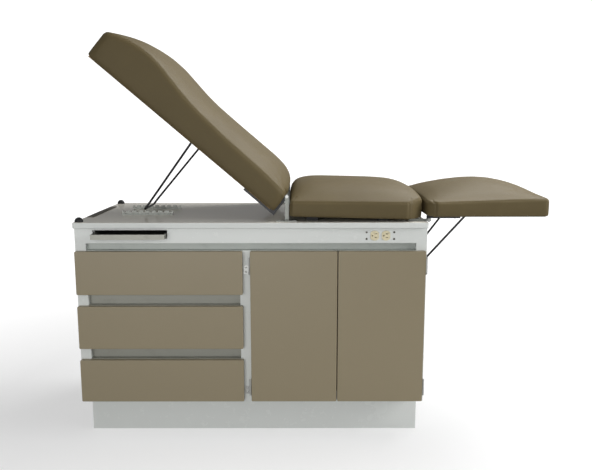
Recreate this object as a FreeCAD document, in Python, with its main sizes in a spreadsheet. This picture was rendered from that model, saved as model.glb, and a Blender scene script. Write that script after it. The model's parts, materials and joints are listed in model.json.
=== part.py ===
import FreeCAD, Part
import math
import os
import Sketcher

# Examination table: a white cabinet base with drawers, doors and a pull-out tray, under a top slab
# that carries a tilting backrest, a fixed seat and a drop leg section.
# Frame: origin on the floor under the middle of the cabinet, +X to the foot end, +Y to the back, +Z up.

DRIVING = {
    # top slab
    "slab_length": 1220, "slab_depth": 610, "slab_thick": 20, "slab_edge": 2.5, "slab_corner": 6,
    # cabinet shell
    "side_inset": 2, "face_setback": 15, "back_setback": 8, "panel_thick": 16, "back_thick": 8,
    "frame_thick": 20, "stile_width": 37, "centre_stile_width": 46, "centre_offset": -16.25,
    "bottom_rail_height": 38, "rail_height": 52.5, "channel_height": 27, "channel_sheet": 2,
    # plinth
    "plinth_height": 136, "plinth_setback": 68, "plinth_end_inset": 10, "plinth_back_inset": 20,
    "plinth_board": 18,
    # drawer fronts and doors
    "front_thick": 18.5, "front_clear": 0.5, "front_height": 153, "front_gap": 42, "bottom_reveal": 6.5,
    "outer_reveal": 1.5, "centre_reveal": 26.5, "door_gap": 3, "door_hinge_reveal": 5.5, "front_corner": 4,
    "front_round": 1.5,
    # drawer boxes and runners
    "drawer_side_room": 13, "drawer_board": 12, "drawer_bottom": 6, "drawer_height": 108,
    "drawer_lift": 3, "drawer_depth": 510, "bar_thick": 9, "bar_height": 24, "bar_drop": 30,
    "runner_sheet": 2, "runner_reach": 11, "runner_height": 34, "slide_clear": 0.3,
    # shelf
    "shelf_height": 250, "shelf_thick": 16, "shelf_setback": 60, "peg_radius": 3, "peg_reach": 9,
    "peg_inset": 45,
    # door hinges
    "knuckle_radius": 3, "knuckle_length": 60, "knuckle_gap": 0.4, "hinge_pin_radius": 1.5,
    "pin_clear": 0.05, "leaf_sheet": 1.5, "leaf_reach": 16, "hinge_end_inset": 22, "knuckle_stand": 3.7,
    "knuckle_setback": 4,
    # door catches
    "catch_length": 40, "catch_depth": 16, "catch_height": 12, "catch_offset": 45,
    # pull-out tray
    "tray_width": 252, "tray_height": 17, "tray_depth": 430, "tray_wall": 6, "tray_floor": 4,
    "tray_out": 37, "tray_left": 67, "slot_height": 30.5, "slot_side": 3, "slot_top": 7.5,
    "tray_runner_sheet": 3, "tray_runner_reach": 14,
    # receptacle
    "outlet_from_right": 163.5, "outlet_rise": 25.2, "outlet_spacing": 38.9, "outlet_face_radius": 17.2,
    "outlet_face_half": 14.3, "outlet_proud": 1.6, "outlet_clear": 0.3, "outlet_box_length": 106,
    "outlet_box_height": 44, "outlet_box_depth": 48, "outlet_box_wall": 2, "outlet_strap_thick": 3,
    "outlet_screw_x": 95, "outlet_screw_z": 23.4, "outlet_screw_head": 3.4, "outlet_screw_rise": 1.2,
    "blade_long": 9, "blade_short": 7.5, "blade_width": 2.4, "blade_shift": 3.5, "blade_spread": 12.6,
    "blade_depth": 12, "earth_radius": 2.7, "earth_shift": 8,
    # slab fittings
    "bumper_radius": 14.5, "bumper_height": 16, "bumper_rim": 4, "bumper_x": 16, "bumper_y": 27,
    "strip_width": 24, "strip_length": 312, "strip_thick": 2, "strip_x": 6,
    # notched rack for the backrest prop
    "rack_x": 115, "rack_length": 192, "rack_height": 15, "rack_sheet": 3, "rack_half_gap": 84.5,
    "rack_foot": 14, "notch_radius": 4.4, "notch_depth": 7, "notch_pitch": 24, "notch_start": 12,
    # cushions
    "pad_width": 600, "board_inset": 12, "board_thick": 15,
    # backrest
    "back_angle": 40.5, "back_to_seat": 9, "back_hinge_rise": 85, "back_axis_up": 68, "back_hinge_gap": 7,
    "back_length": 806, "back_wall": 82, "back_crown": 131, "back_head_wall": 128, "back_head_crown": 155,
    "back_head_length": 350, "back_head_end": 86,
    # backrest hinge
    "ear_half": 6.5, "ear_sheet": 5, "ear_y": 262, "ear_foot_length": 70, "ear_foot_width": 26,
    "ear_foot_thick": 4, "pivot_radius": 4, "arm_gap": 0.4, "arm_length": 130, "arm_depth": 12,
    "arm_flange": 22, "arm_flange_thick": 3, "pin_head": 5.5, "pin_head_thick": 2.5,
    # props, bent from round rod
    "rod_radius": 4, "prop_bend": 8, "prop_drop": 5.2, "prop_pin": 16, "clip_width": 12, "clip_length": 18,
    "clip_depth": 11, "clip_gap": 1, "back_prop_reach": 376, "back_prop_notch": 3, "back_prop_over": 1,
    "back_prop_half": 78, "back_prop_top_half": 190, "back_prop_straight": 30,
    # seat
    "seat_end_gap": 23, "seat_rise": 20, "seat_pitch": 1.5, "seat_length": 454, "seat_wall": 55,
    "seat_crown": 122, "seat_clip_x": 46, "seat_clip_y": 55, "spacer_width": 40, "spacer_inset": 60,
    "spacer_end_inset": 48,
    # leg section
    "leg_gap": 19, "leg_rise": 18, "leg_length": 416, "leg_wall": 55, "leg_crown": 113, "leg_clip_x": 23,
    "leg_clip_y": 28, "leg_hinge_out": 8, "leg_hinge_rise": 3, "leg_ear_length": 70, "leg_ear_height": 7,
    "leg_boss": 7, "leg_ear_sheet": 6, "leg_arm_low": 8, "leg_arm_length": 110,
    "leg_prop_reach": 166, "leg_prop_notch": 3, "leg_prop_half": 100, "leg_prop_top_half": 147,
    "leg_prop_straight": 12,
    # notched rack for the leg prop, on the foot-end side panel
    "leg_rack_top": 102.6, "leg_rack_length": 192, "leg_rack_height": 17, "leg_rack_half_gap": 106.5,
    # how far a through-hole's tool runs past the faces it opens
    "overrun": 1,
}

DRAWERS = ("1", "2", "3")

doc = FreeCAD.newDocument("examination_table")
sheet = doc.addObject("Spreadsheet::Sheet", "Sizes")
for row, (alias, number) in enumerate(DRIVING.items(), start=1):
    sheet.set(f"A{row}", alias)
    sheet.set(f"B{row}", str(number))
    sheet.setAlias(f"B{row}", alias)
doc.recompute()


class Size:
    """A length or angle that knows both its number and the sheet expression that gives it."""

    def __init__(self, text, number):
        self.text = text
        self.number = number

    def join(self, other, sign, number):
        return Size(f"({self.text} {sign} {as_size(other).text})", number)

    def __add__(self, other):
        return self.join(other, "+", self.number + as_size(other).number)

    def __sub__(self, other):
        return self.join(other, "-", self.number - as_size(other).number)

    def __mul__(self, other):
        return self.join(other, "*", self.number * as_size(other).number)

    def __truediv__(self, other):
        return self.join(other, "/", self.number / as_size(other).number)

    def __radd__(self, other):
        return as_size(other) + self

    def __rsub__(self, other):
        return as_size(other) - self

    def __rmul__(self, other):
        return as_size(other) * self

    def __neg__(self):
        return Size(f"(-1 * {self.text})", -self.number)

    def sin(self):
        return Size(f"sin({self.text} * 1 deg)", math.sin(math.radians(self.number)))

    def cos(self):
        return Size(f"cos({self.text} * 1 deg)", math.cos(math.radians(self.number)))

    def tan(self):
        return Size(f"tan({self.text} * 1 deg)", math.tan(math.radians(self.number)))

    def diagonal(self, other):
        """The long side of a right triangle on these two sides."""
        total = self * self + other * other
        return Size(f"sqrt({total.text})", math.sqrt(total.number))

    def slope_over(self, run):
        """The angle, in degrees, of a line that rises by this much over a run."""
        return Size(f"atan2({self.text}; {run.text})", math.degrees(math.atan2(self.number, run.number)))


def as_size(value):
    return value if isinstance(value, Size) else Size(repr(value), value)


def size(alias):
    return Size(f"Sizes.{alias}", float(sheet.get(alias)))


def bind(obj, path, value):
    value = as_size(value)
    obj.setExpression(path, value.text)


nodes = {}


def keep(obj, label):
    obj.Label = label
    nodes[label] = obj
    return obj


def place(obj, x=0, y=0, z=0, axis=None, angle=None):
    if axis is not None:
        obj.Placement = FreeCAD.Placement(FreeCAD.Vector(), FreeCAD.Rotation(FreeCAD.Vector(*axis), 1))
        bind(obj, "Placement.Rotation.Angle", angle)
    for letter, value in zip("xyz", (x, y, z)):
        bind(obj, f"Placement.Base.{letter}", value)
    return obj


def box(name, x, y, z):
    """A block between the low and high ends given for each axis."""
    obj = doc.addObject("Part::Box", name)
    for side, (low, high) in zip(("Length", "Width", "Height"), (x, y, z)):
        bind(obj, side, as_size(high) - low)
    return place(obj, x[0], y[0], z[0])


TURNS = {"x": ((0, 1, 0), 90), "y": ((1, 0, 0), -90), "z": ((0, 0, 1), 0)}


def rod(name, along, radius, low, high, across):
    """A round bar along one axis from low to high; across holds its other two coordinates in order."""
    obj = doc.addObject("Part::Cylinder", name)
    bind(obj, "Radius", radius)
    bind(obj, "Height", as_size(high) - low)
    axis, angle = TURNS[along]
    spot = list(across)
    spot.insert("xyz".index(along), low)
    return place(obj, *spot, axis=axis, angle=angle)


def cut(name, base, tool):
    obj = doc.addObject("Part::Cut", name)
    obj.Base = base
    obj.Tool = tool
    return obj


def fuse(name, shapes):
    obj = doc.addObject("Part::MultiFuse", name)
    obj.Shapes = shapes
    obj.Refine = True
    return obj


def common(name, shapes):
    obj = doc.addObject("Part::MultiCommon", name)
    obj.Shapes = shapes
    obj.Refine = True
    return obj


def group(name, shapes):
    obj = doc.addObject("Part::Compound", name)
    obj.Links = shapes
    return obj


PLANES = {"xy": "XY_Plane", "xz": "XZ_Plane", "yz": "YZ_Plane"}


def fix_point(sketch, geometry, end, point):
    """Hold one end of a line or arc at the two sizes of a point."""
    for kind, value in zip(("DistanceX", "DistanceY"), point):
        index = sketch.addConstraint(Sketcher.Constraint(kind, geometry, end, value.number))
        sketch.setExpression(f"Constraints[{index}]", value.text)


def draw(sketch, outline):
    """Draw a closed outline, anticlockwise, from corners (across, up).

    A third value at a corner is the rise of an arc that runs over the top, from right to left, to the next.
    """
    corners = [(as_size(corner[0]), as_size(corner[1])) for corner in outline]
    spots = [FreeCAD.Vector(across.number, up.number, 0) for across, up in corners]
    for i, corner in enumerate(outline):
        start, end = spots[i], spots[(i + 1) % len(spots)]
        if len(corner) == 2:
            sketch.addGeometry(Part.LineSegment(start, end), False)
        else:
            crest = (start + end) * 0.5 + FreeCAD.Vector(0, as_size(corner[2]).number, 0)
            sketch.addGeometry(Part.Arc(start, crest, end), False)
    for i, corner in enumerate(outline):
        fix_point(sketch, i, 1, corners[i])
        sketch.addConstraint(Sketcher.Constraint("Coincident", i, 2, (i + 1) % len(outline), 1))
        if len(corner) == 3:
            width = corners[i][0] - corners[(i + 1) % len(outline)][0]
            rise = as_size(corner[2])
            centre = corners[i][1] + rise - (width * width / 4 + rise * rise) / (2 * rise)
            index = sketch.addConstraint(Sketcher.Constraint("DistanceY", i, 3, centre.number))
            sketch.setExpression(f"Constraints[{index}]", centre.text)


def pad(name, plane, outline, low, high):
    """A prism: an outline on a body's own plane, padded along that plane's normal from low to high."""
    body = doc.addObject("PartDesign::Body", name)
    add_pad(body, f"{name}_pad", plane, outline, low, high)
    return body


def add_pad(body, name, plane, outline, low, high):
    sketch = body.newObject("Sketcher::SketchObject", f"{name}_outline")
    origin = [f for f in body.Origin.OriginFeatures if f.Role == PLANES[plane]][0]
    sketch.AttachmentSupport = [(origin, "")]
    sketch.MapMode = "FlatFace"
    draw(sketch, outline)
    feature = body.newObject("PartDesign::Pad", name)
    feature.Profile = sketch
    bind(feature, "Length", as_size(high) - low)
    flip = -1 if plane == "xz" else 1
    bind(sketch, "AttachmentOffset.Base.z", flip * as_size(low))
    feature.Reversed = plane == "xz"
    return feature


def round_edges(body, name, radius, wanted):
    """Round the edges of a body that the test picks."""
    doc.recompute()
    tip = body.Tip
    names = [f"Edge{i}" for i, edge in enumerate(tip.Shape.Edges, start=1) if wanted(edge)]
    fillet = body.newObject("PartDesign::Fillet", name)
    fillet.Base = (tip, names)
    bind(fillet, "Radius", radius)
    body.Tip = fillet
    doc.recompute()
    return fillet


def runs_along(letter):
    def test(edge):
        if edge.Curve.TypeId != "Part::GeomLine":
            return False
        return abs(getattr(edge.Curve.Direction, letter)) > 0.999
    return test


def lies_at(letter, number):
    def test(edge):
        box_ = edge.BoundBox
        low = getattr(box_, f"{letter.upper()}Min")
        high = getattr(box_, f"{letter.upper()}Max")
        return abs(low - number) < 1e-3 and abs(high - number) < 1e-3
    return test


def rectangle(across, up):
    return [(across[0], up[0]), (across[1], up[0]), (across[1], up[1]), (across[0], up[1])]


# Levels and planes that the pieces share

half_length = size("slab_length") / 2
half_depth = size("slab_depth") / 2
side_x = half_length - size("side_inset")
face_y = size("face_setback") - half_depth
frame_back = face_y + size("frame_thick")
back_y = half_depth - size("back_setback")
back_inner = back_y - size("back_thick")
floor_low = size("plinth_height")
floor_top = floor_low + size("panel_thick")
fronts_low = floor_low + size("bottom_reveal")
front_step = size("front_height") + size("front_gap")
fronts_top = fronts_low + len(DRAWERS) * front_step - size("front_gap")
rail_low = fronts_top + size("channel_height")
slab_low = rail_low + size("rail_height")
slab_top = slab_low + size("slab_thick")
mid_x = size("centre_offset")
inner_x = side_x - size("panel_thick")
left_open = size("stile_width") - side_x
right_open = side_x - size("stile_width")
mid_left = mid_x - size("centre_stile_width") / 2
mid_right = mid_x + size("centre_stile_width") / 2
front_back_y = face_y - size("front_clear")
front_face_y = front_back_y - size("front_thick")


# Cabinet shell

def cabinet():
    slab = pad("top_slab", "xy", rectangle((-half_length, half_length), (-half_depth, half_depth)),
               slab_low, slab_top)
    round_edges(slab, "slab_corners", size("slab_corner"), runs_along("z"))
    top = slab_top.number
    bottom = slab_low.number
    at_top = lies_at("z", top)
    at_bottom = lies_at("z", bottom)
    round_edges(slab, "slab_edges", size("slab_edge"), lambda edge: at_top(edge) or at_bottom(edge))
    keep(slab, "top_slab")
    for label, low, high in (("left_side_panel", -side_x, -inner_x), ("right_side_panel", inner_x, side_x)):
        keep(box(label, (low, high), (frame_back, back_y), (floor_low, slab_low)), label)
    keep(box("back_panel", (-inner_x, inner_x), (back_inner, back_y), (floor_low, slab_low)), "back_panel")
    keep(box("cabinet_floor", (-inner_x, inner_x), (frame_back, back_inner), (floor_low, floor_top)),
         "cabinet_floor")
    half = size("panel_thick") / 2
    keep(box("centre_divider", (mid_x - half, mid_x + half), (frame_back, back_inner), (floor_top, slab_low)),
         "centre_divider")


def face_frame():
    rail_top = floor_low + size("bottom_rail_height")
    depth = (face_y, frame_back)
    keep(box("left_stile", (-side_x, left_open), depth, (floor_low, slab_low)), "left_stile")
    keep(box("right_stile", (right_open, side_x), depth, (floor_low, slab_low)), "right_stile")
    keep(box("bottom_rail", (left_open, right_open), depth, (floor_low, rail_top)), "bottom_rail")
    keep(box("centre_stile", (mid_left, mid_right), depth, (rail_top, fronts_top)), "centre_stile")
    channel("finger_channel", left_open, right_open, fronts_top, rail_low)
    for row, number in enumerate(DRAWERS[:-1]):
        high = fronts_top - size("front_height") - row * front_step
        channel(f"drawer_channel_{number}", left_open, mid_left, high - size("front_gap"), high)


def channel(label, left, right, low, high):
    """A bent steel channel, open to the front, that gives the fingers room above a drawer or door."""
    sheet_thick = size("channel_sheet")
    outline = [(face_y, low), (frame_back, low), (frame_back, high), (face_y, high),
               (face_y, high - sheet_thick), (frame_back - sheet_thick, high - sheet_thick),
               (frame_back - sheet_thick, low + sheet_thick), (face_y, low + sheet_thick)]
    keep(pad(label, "yz", outline, left, right), label)


def top_rail():
    """The rail under the slab, cut for the tray and for the receptacle's two faces."""
    depth = (face_y, frame_back)
    through = (face_y - size("frame_thick"), frame_back + size("frame_thick"))
    slot_high = slab_low - size("slot_top")
    slot = box("tray_slot", (tray_left - size("slot_side"), tray_right + size("slot_side")), through,
               (slot_high - size("slot_height"), slot_high))
    rail = box("rail_blank", (left_open, right_open), depth, (rail_low, slab_low))
    holes = fuse("rail_openings", [slot] + outlet_faces("rail_hole", through, size("outlet_clear")))
    keep(cut("top_rail", rail, holes), "top_rail")


def plinth():
    end_x = side_x - size("plinth_end_inset")
    board = size("plinth_board")
    front = face_y + size("plinth_setback")
    back = back_y - size("plinth_back_inset")
    height = (0, size("plinth_height"))
    inside = (front + board, back - board)
    boards = [box("plinth_front", (-end_x, end_x), (front, front + board), height),
              box("plinth_back", (-end_x, end_x), (back - board, back), height),
              box("plinth_left_end", (-end_x, board - end_x), inside, height),
              box("plinth_right_end", (end_x - board, end_x), inside, height),
              box("plinth_cross", (-board / 2, board / 2), inside, height)]
    keep(group("plinth_frame", boards), "plinth_frame")


def shelf():
    half = size("panel_thick") / 2
    left = mid_x + half
    low = floor_top + size("shelf_height")
    front = frame_back + size("shelf_setback")
    clear = size("slide_clear")
    keep(box("cupboard_shelf", (left + clear, inner_x - clear), (front, back_inner - clear),
             (low, low + size("shelf_thick"))), "cupboard_shelf")
    radius = size("peg_radius")
    pegs = []
    for y in (front + size("peg_inset"), back_inner - size("peg_inset")):
        pegs.append(rod("shelf_peg_left", "x", radius, left, left + size("peg_reach"), (y, low - radius)))
        pegs.append(rod("shelf_peg_right", "x", radius, inner_x - size("peg_reach"), inner_x,
                        (y, low - radius)))
    keep(group("shelf_pegs", pegs), "shelf_pegs")


# Drawers

drawer_left = left_open + size("drawer_side_room")
drawer_right = mid_left - size("drawer_side_room")


def overlay_front(label, left, right, low, high):
    """A flat overlay front with small corner radii and softened outer edges."""
    body = pad(label, "xz", rectangle((left, right), (low, high)), front_face_y, front_back_y)
    round_edges(body, f"{label}_corners", size("front_corner"), runs_along("y"))
    round_edges(body, f"{label}_edges", size("front_round"), lies_at("y", front_face_y.number))
    keep(body, label)


def drawers():
    runners = []
    for row, number in enumerate(DRAWERS):
        high = fronts_top - row * front_step
        low = high - size("front_height")
        overlay_front(f"drawer_front_{number}", size("outer_reveal") - side_x,
                      mid_x - size("centre_reveal") / 2, low, high)
        box_low = low + size("bottom_rail_height") - size("bottom_reveal") + size("drawer_lift")
        drawer_box(number, box_low)
        runners += drawer_runner(number, box_low)
    keep(group("drawer_runners", runners), "drawer_runners")


def drawer_box(number, low):
    """Boards of an open box, with the two slide bars that ride on the cabinet's runners."""
    board = size("drawer_board")
    front = front_back_y
    back = front + size("drawer_depth")
    high = low + size("drawer_height")
    wide = (drawer_left + board, drawer_right - board)
    pieces = [box("drawer_left_side", (drawer_left, drawer_left + board), (front, back), (low, high)),
              box("drawer_right_side", (drawer_right - board, drawer_right), (front, back), (low, high)),
              box("drawer_inner_front", wide, (front, front + board), (low, high)),
              box("drawer_back", wide, (back - board, back), (low, high)),
              box("drawer_bottom", wide, (front + board, back - board), (low, low + size("drawer_bottom")))]
    bar_low = low + size("bar_drop")
    bar = (bar_low, bar_low + size("bar_height"))
    start = frame_back + size("slide_clear")
    thick = size("bar_thick")
    pieces.append(box("slide_bar_left", (drawer_left - thick, drawer_left), (start, back), bar))
    pieces.append(box("slide_bar_right", (drawer_right, drawer_right + thick), (start, back), bar))
    keep(group(f"drawer_box_{number}", pieces), f"drawer_box_{number}")


def drawer_runner(number, low):
    """Two steel angles, from the face frame to the back panel, under a drawer's slide bars."""
    sheet_thick = size("runner_sheet")
    flange_top = low + size("bar_drop") - size("slide_clear")
    flange_low = flange_top - sheet_thick
    web_top = flange_low + size("runner_height")
    reach = size("runner_reach")
    pieces = []
    for side, edge, sign in (("left", left_open, 1), ("right", mid_left, -1)):
        outline = [(edge, flange_low), (edge + sign * reach, flange_low), (edge + sign * reach, flange_top),
                   (edge, flange_top), (edge, web_top), (edge - sign * sheet_thick, web_top),
                   (edge - sign * sheet_thick, flange_low)]
        pieces.append(pad(f"runner_{number}_{side}", "xz", outline, frame_back, back_inner))
    return pieces


# Doors and their hinges

door_left_edge = mid_x + size("centre_reveal") / 2
door_right_edge = side_x - size("door_hinge_reveal")
door_meet = (door_left_edge + door_right_edge) / 2


def doors():
    overlay_front("door_left", door_left_edge, door_meet - size("door_gap") / 2, fronts_low, fronts_top)
    overlay_front("door_right", door_meet + size("door_gap") / 2, door_right_edge, fronts_low, fronts_top)
    door_hinges("door_left", door_left_edge, -1, mid_right)
    door_hinges("door_right", door_right_edge, 1, side_x)
    catches()


def door_hinges(label, edge, outward, post):
    """Two barrel hinges: a leaf on the cabinet and a leaf on the door's edge share one pin."""
    axis_x = edge + outward * size("knuckle_stand")
    axis_y = front_face_y + size("knuckle_setback")
    length = size("knuckle_length")
    half = length / 2
    gap = size("knuckle_gap")
    fixed, moving, pins = [], [], []
    for spot, low in (("low", fronts_low + size("hinge_end_inset")),
                      ("high", fronts_top - size("hinge_end_inset") - length)):
        name = f"{label}_{spot}"
        low_half = (low, low + half - gap / 2)
        high_half = (low + half + gap / 2, low + length)
        fixed.append(fixed_leaf(name, axis_x, axis_y, outward, post, low_half))
        moving.append(door_leaf(name, axis_x, axis_y, outward, edge, high_half))
        pins.append(rod(f"{name}_pin", "z", size("hinge_pin_radius"), low, low + length, (axis_x, axis_y)))
    keep(group(f"{label}_frame_leaves", fixed), f"{label}_frame_leaves")
    keep(group(f"{label}_door_leaves", moving), f"{label}_door_leaves")
    keep(group(f"{label}_hinge_pins", pins), f"{label}_hinge_pins")


def knuckle(name, axis_x, axis_y, span):
    """A hinge knuckle blank; the pin hole is cut after its leaf is joined on."""
    return rod(name, "z", size("knuckle_radius"), span[0], span[1], (axis_x, axis_y))


def drilled(name, blank, axis_x, axis_y, span, clear):
    low, high = run_past(span)
    hole = rod(f"{name}_hole", "z", size("hinge_pin_radius") + clear, low, high, (axis_x, axis_y))
    return cut(name, blank, hole)


def fixed_leaf(name, axis_x, axis_y, outward, post, span):
    leaf = size("leaf_sheet")
    web_outer = axis_x + outward * size("knuckle_radius")
    web = sorted_pair(web_outer, web_outer - outward * leaf, outward)
    pieces = [knuckle(f"{name}_frame_knuckle", axis_x, axis_y, span)]
    if outward < 0:
        pieces.append(box(f"{name}_frame_web", web, (axis_y, face_y), span))
        pieces.append(box(f"{name}_frame_plate", (web[0] - size("leaf_reach"), web[1]),
                          (face_y - leaf, face_y), span))
    else:
        plate = (post, post + leaf)
        pieces.append(box(f"{name}_frame_web", plate, (axis_y, face_y + size("leaf_reach")), span))
    return drilled(f"{name}_frame_leaf", fuse(f"{name}_frame_blank", pieces), axis_x, axis_y, span, 0)


def door_leaf(name, axis_x, axis_y, outward, edge, span):
    plate = sorted_pair(edge + outward * size("leaf_sheet"), edge, outward)
    pieces = [knuckle(f"{name}_door_knuckle", axis_x, axis_y, span),
              box(f"{name}_door_plate", plate, (axis_y, front_back_y), span)]
    blank = fuse(f"{name}_door_blank", pieces)
    return drilled(f"{name}_door_leaf", blank, axis_x, axis_y, span, size("pin_clear"))


def sorted_pair(first, second, outward):
    return (second, first) if outward > 0 else (first, second)


def run_past(span):
    """A span lengthened at both ends, for a tool that cuts right through."""
    return span[0] - size("overrun"), span[1] + size("overrun")


def catches():
    """A magnetic catch for each door, under the finger channel."""
    length = size("catch_length")
    high = fronts_top
    pieces = []
    for sign in (-1, 1):
        middle = door_meet + sign * size("catch_offset")
        pieces.append(box("catch", (middle - length / 2, middle + length / 2),
                          (face_y, face_y + size("catch_depth")), (high - size("catch_height"), high)))
    keep(group("door_catches", pieces), "door_catches")


# Pull-out tray

tray_left = size("tray_left") - half_length
tray_right = tray_left + size("tray_width")


def tray():
    wall = size("tray_wall")
    slot_low = slab_low - size("slot_top") - size("slot_height")
    low = slot_low + size("slide_clear") + size("tray_runner_sheet")
    high = low + size("tray_height")
    front = face_y - size("tray_out")
    back = front + size("tray_depth")
    blank = box("tray_blank", (tray_left, tray_right), (front, back), (low, high))
    hollow = box("tray_hollow", (tray_left + wall, tray_right - wall), (front + wall, back - wall),
                 (low + size("tray_floor"), high + wall))
    keep(cut("tray_pan", blank, hollow), "tray_pan")
    thick = size("tray_runner_sheet")
    reach = size("tray_runner_reach")
    clear = size("slide_clear")
    flange = (slot_low, slot_low + thick)
    pieces = []
    for side, edge, sign in (("left", tray_left, 1), ("right", tray_right, -1)):
        web = edge - sign * clear
        outline = [(web + sign * reach, flange[0]), (web + sign * reach, flange[1]), (web, flange[1]),
                   (web, slab_low), (web - sign * thick, slab_low), (web - sign * thick, flange[0])]
        pieces.append(pad(f"tray_runner_{side}", "xz", outline, frame_back, back_inner))
    keep(group("tray_runners", pieces), "tray_runners")


# Receptacle in the top rail

outlet_x = half_length - size("outlet_from_right")
outlet_z = rail_low + size("outlet_rise")


def outlet_faces(name, span, clear):
    """The two round faces with flat sides, as solids or, with a clearance, as the holes for them."""
    faces = []
    for sign in (-1, 1):
        middle = outlet_x + sign * size("outlet_spacing") / 2
        tall = size("outlet_face_radius") + clear
        disc = rod(f"{name}_disc", "y", tall, span[0], span[1], (middle, outlet_z))
        half = size("outlet_face_half") + clear
        slab = box(f"{name}_flats", (middle - half, middle + half), span, (outlet_z - tall, outlet_z + tall))
        faces.append(common(f"{name}_face", [disc, slab]))
    return faces


def receptacle():
    back = frame_back
    strap = (back, back + size("outlet_strap_thick"))
    length = size("outlet_box_length") / 2
    height = size("outlet_box_height") / 2
    plate = box("outlet_strap", (outlet_x - length, outlet_x + length), strap,
                (outlet_z - height, outlet_z + height))
    faces = outlet_faces("outlet", (face_y - size("outlet_proud"), back), 0)
    slots = []
    for sign in (-1, 1):
        slots += outlet_slots(outlet_x + sign * size("outlet_spacing") / 2)
    blank = fuse("outlet_blank", [plate] + faces)
    keep(cut("receptacle_body", blank, fuse("outlet_slots", slots)), "receptacle_body")
    wall = size("outlet_box_wall")
    deep = (strap[1], strap[1] + size("outlet_box_depth"))
    outer = box("outlet_box_outer", (outlet_x - length, outlet_x + length), deep,
                (outlet_z - height, outlet_z + height))
    inner = box("outlet_box_inner", (outlet_x - length + wall, outlet_x + length - wall),
                (deep[0] - wall, deep[1] - wall), (outlet_z - height + wall, outlet_z + height - wall))
    keep(cut("receptacle_box", outer, inner), "receptacle_box")
    heads = []
    for sx in (-1, 1):
        for sz in (-1, 1):
            spot = (outlet_x + sx * size("outlet_screw_x") / 2, outlet_z + sz * size("outlet_screw_z") / 2)
            heads.append(rod("outlet_screw", "y", size("outlet_screw_head"),
                             face_y - size("outlet_screw_rise"), face_y, spot))
    keep(group("receptacle_screws", heads), "receptacle_screws")


def outlet_slots(middle):
    """The openings of one face: two blade slots and a round earth hole, turned on their side."""
    span = (face_y - size("outlet_proud") - size("overrun"), face_y + size("blade_depth"))
    half = size("blade_width") / 2
    x = middle + size("blade_shift")
    slots = []
    for sign, length in ((1, size("blade_long")), (-1, size("blade_short"))):
        z = outlet_z + sign * size("blade_spread") / 2
        slots.append(box("blade_slot", (x - length / 2, x + length / 2), span, (z - half, z + half)))
    slots.append(rod("earth_hole", "y", size("earth_radius"), span[0], span[1],
                     (middle - size("earth_shift"), outlet_z)))
    return slots


# Fittings on the slab

def bumpers():
    """Rubber domes that the lowered backrest rests on."""
    height = size("bumper_height")
    radius = size("bumper_radius")
    x = size("bumper_x") - half_length
    domes = []
    for y in (-half_depth + size("bumper_y"), half_depth - size("bumper_y")):
        foot = rod("bumper_foot", "z", radius, slab_top, slab_top + height, (x, y))
        ball = doc.addObject("Part::Sphere", "bumper_ball")
        dome = height - size("bumper_rim")
        ball_radius = (radius * radius + dome * dome) / (2 * dome)
        bind(ball, "Radius", ball_radius)
        place(ball, x, y, slab_top + height - ball_radius)
        domes.append(common("bumper", [foot, ball]))
    keep(group("rubber_bumpers", domes), "rubber_bumpers")
    left = size("strip_x") - half_length
    keep(box("head_strip", (left, left + size("strip_width")),
             (-size("strip_length") / 2, size("strip_length") / 2),
             (slab_top, slab_top + size("strip_thick"))), "head_strip")


def notch_run(index):
    """How far along its plate a notch is."""
    return size("notch_start") + size("notch_pitch") * index


def rack_plate(name, length, height, from_far_end):
    """A notched angle: lies along X from 0, stands up in Z, and its foot turns to +Y."""
    sheet_thick = size("rack_sheet")
    foot = size("rack_foot")
    outline = [(0, 0), (foot, 0), (foot, sheet_thick), (sheet_thick, sheet_thick), (sheet_thick, height),
               (0, height)]
    blank = pad(f"{name}_angle", "yz", outline, 0, length)
    radius = size("notch_radius")
    seat_z = height - size("notch_depth") + radius
    room = length.number - 2 * size("notch_start").number
    count = int(room / size("notch_pitch").number + 1e-6) + 1
    through = (-sheet_thick, 2 * sheet_thick)
    cutters = []
    for index in range(count):
        x = length - notch_run(index) if from_far_end else notch_run(index)
        cutters.append(rod(f"{name}_notch", "y", radius, through[0], through[1], (x, seat_z)))
        cutters.append(box(f"{name}_mouth", (x - radius, x + radius), through, (seat_z, height + radius)))
    return cut(name, blank, fuse(f"{name}_notches", cutters))


def back_rack():
    """Two notched plates on the slab stand either side of the backrest prop's crossbar."""
    x = size("rack_x") - half_length
    half_gap = size("rack_half_gap")
    length = size("rack_length")
    far = group("rack_far_set", [rack_plate("rack_far", length, size("rack_height"), False)])
    place(far, x, half_gap, slab_top)
    near = group("rack_near_set", [rack_plate("rack_near", length, size("rack_height"), True)])
    place(near, x + length, -half_gap, slab_top, axis=(0, 0, 1), angle=180)
    keep(group("back_rack", [far, near]), "back_rack")


def leg_rack():
    """The same plates, stood on the foot-end panel with their notches outward."""
    length = size("leg_rack_length")
    high = slab_top - size("leg_rack_top")
    half_gap = size("leg_rack_half_gap")
    plates = []
    for name, sign in (("leg_rack_far", 1), ("leg_rack_near", -1)):
        plate = rack_plate(name, length, size("leg_rack_height"), sign < 0)
        stood = place(group(f"{name}_stood", [plate]), axis=(0, 1, 0), angle=90)
        turned = group(f"{name}_turned", [stood])
        if sign > 0:
            place(turned, side_x, half_gap, high)
        else:
            place(turned, side_x, -half_gap, high - length, axis=(1, 0, 0), angle=180)
        plates.append(turned)
    keep(group("leg_rack", plates), "leg_rack")


# Cushions and their boards. Each is drawn lying flat, from its own hinge or end, and then placed.

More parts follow.
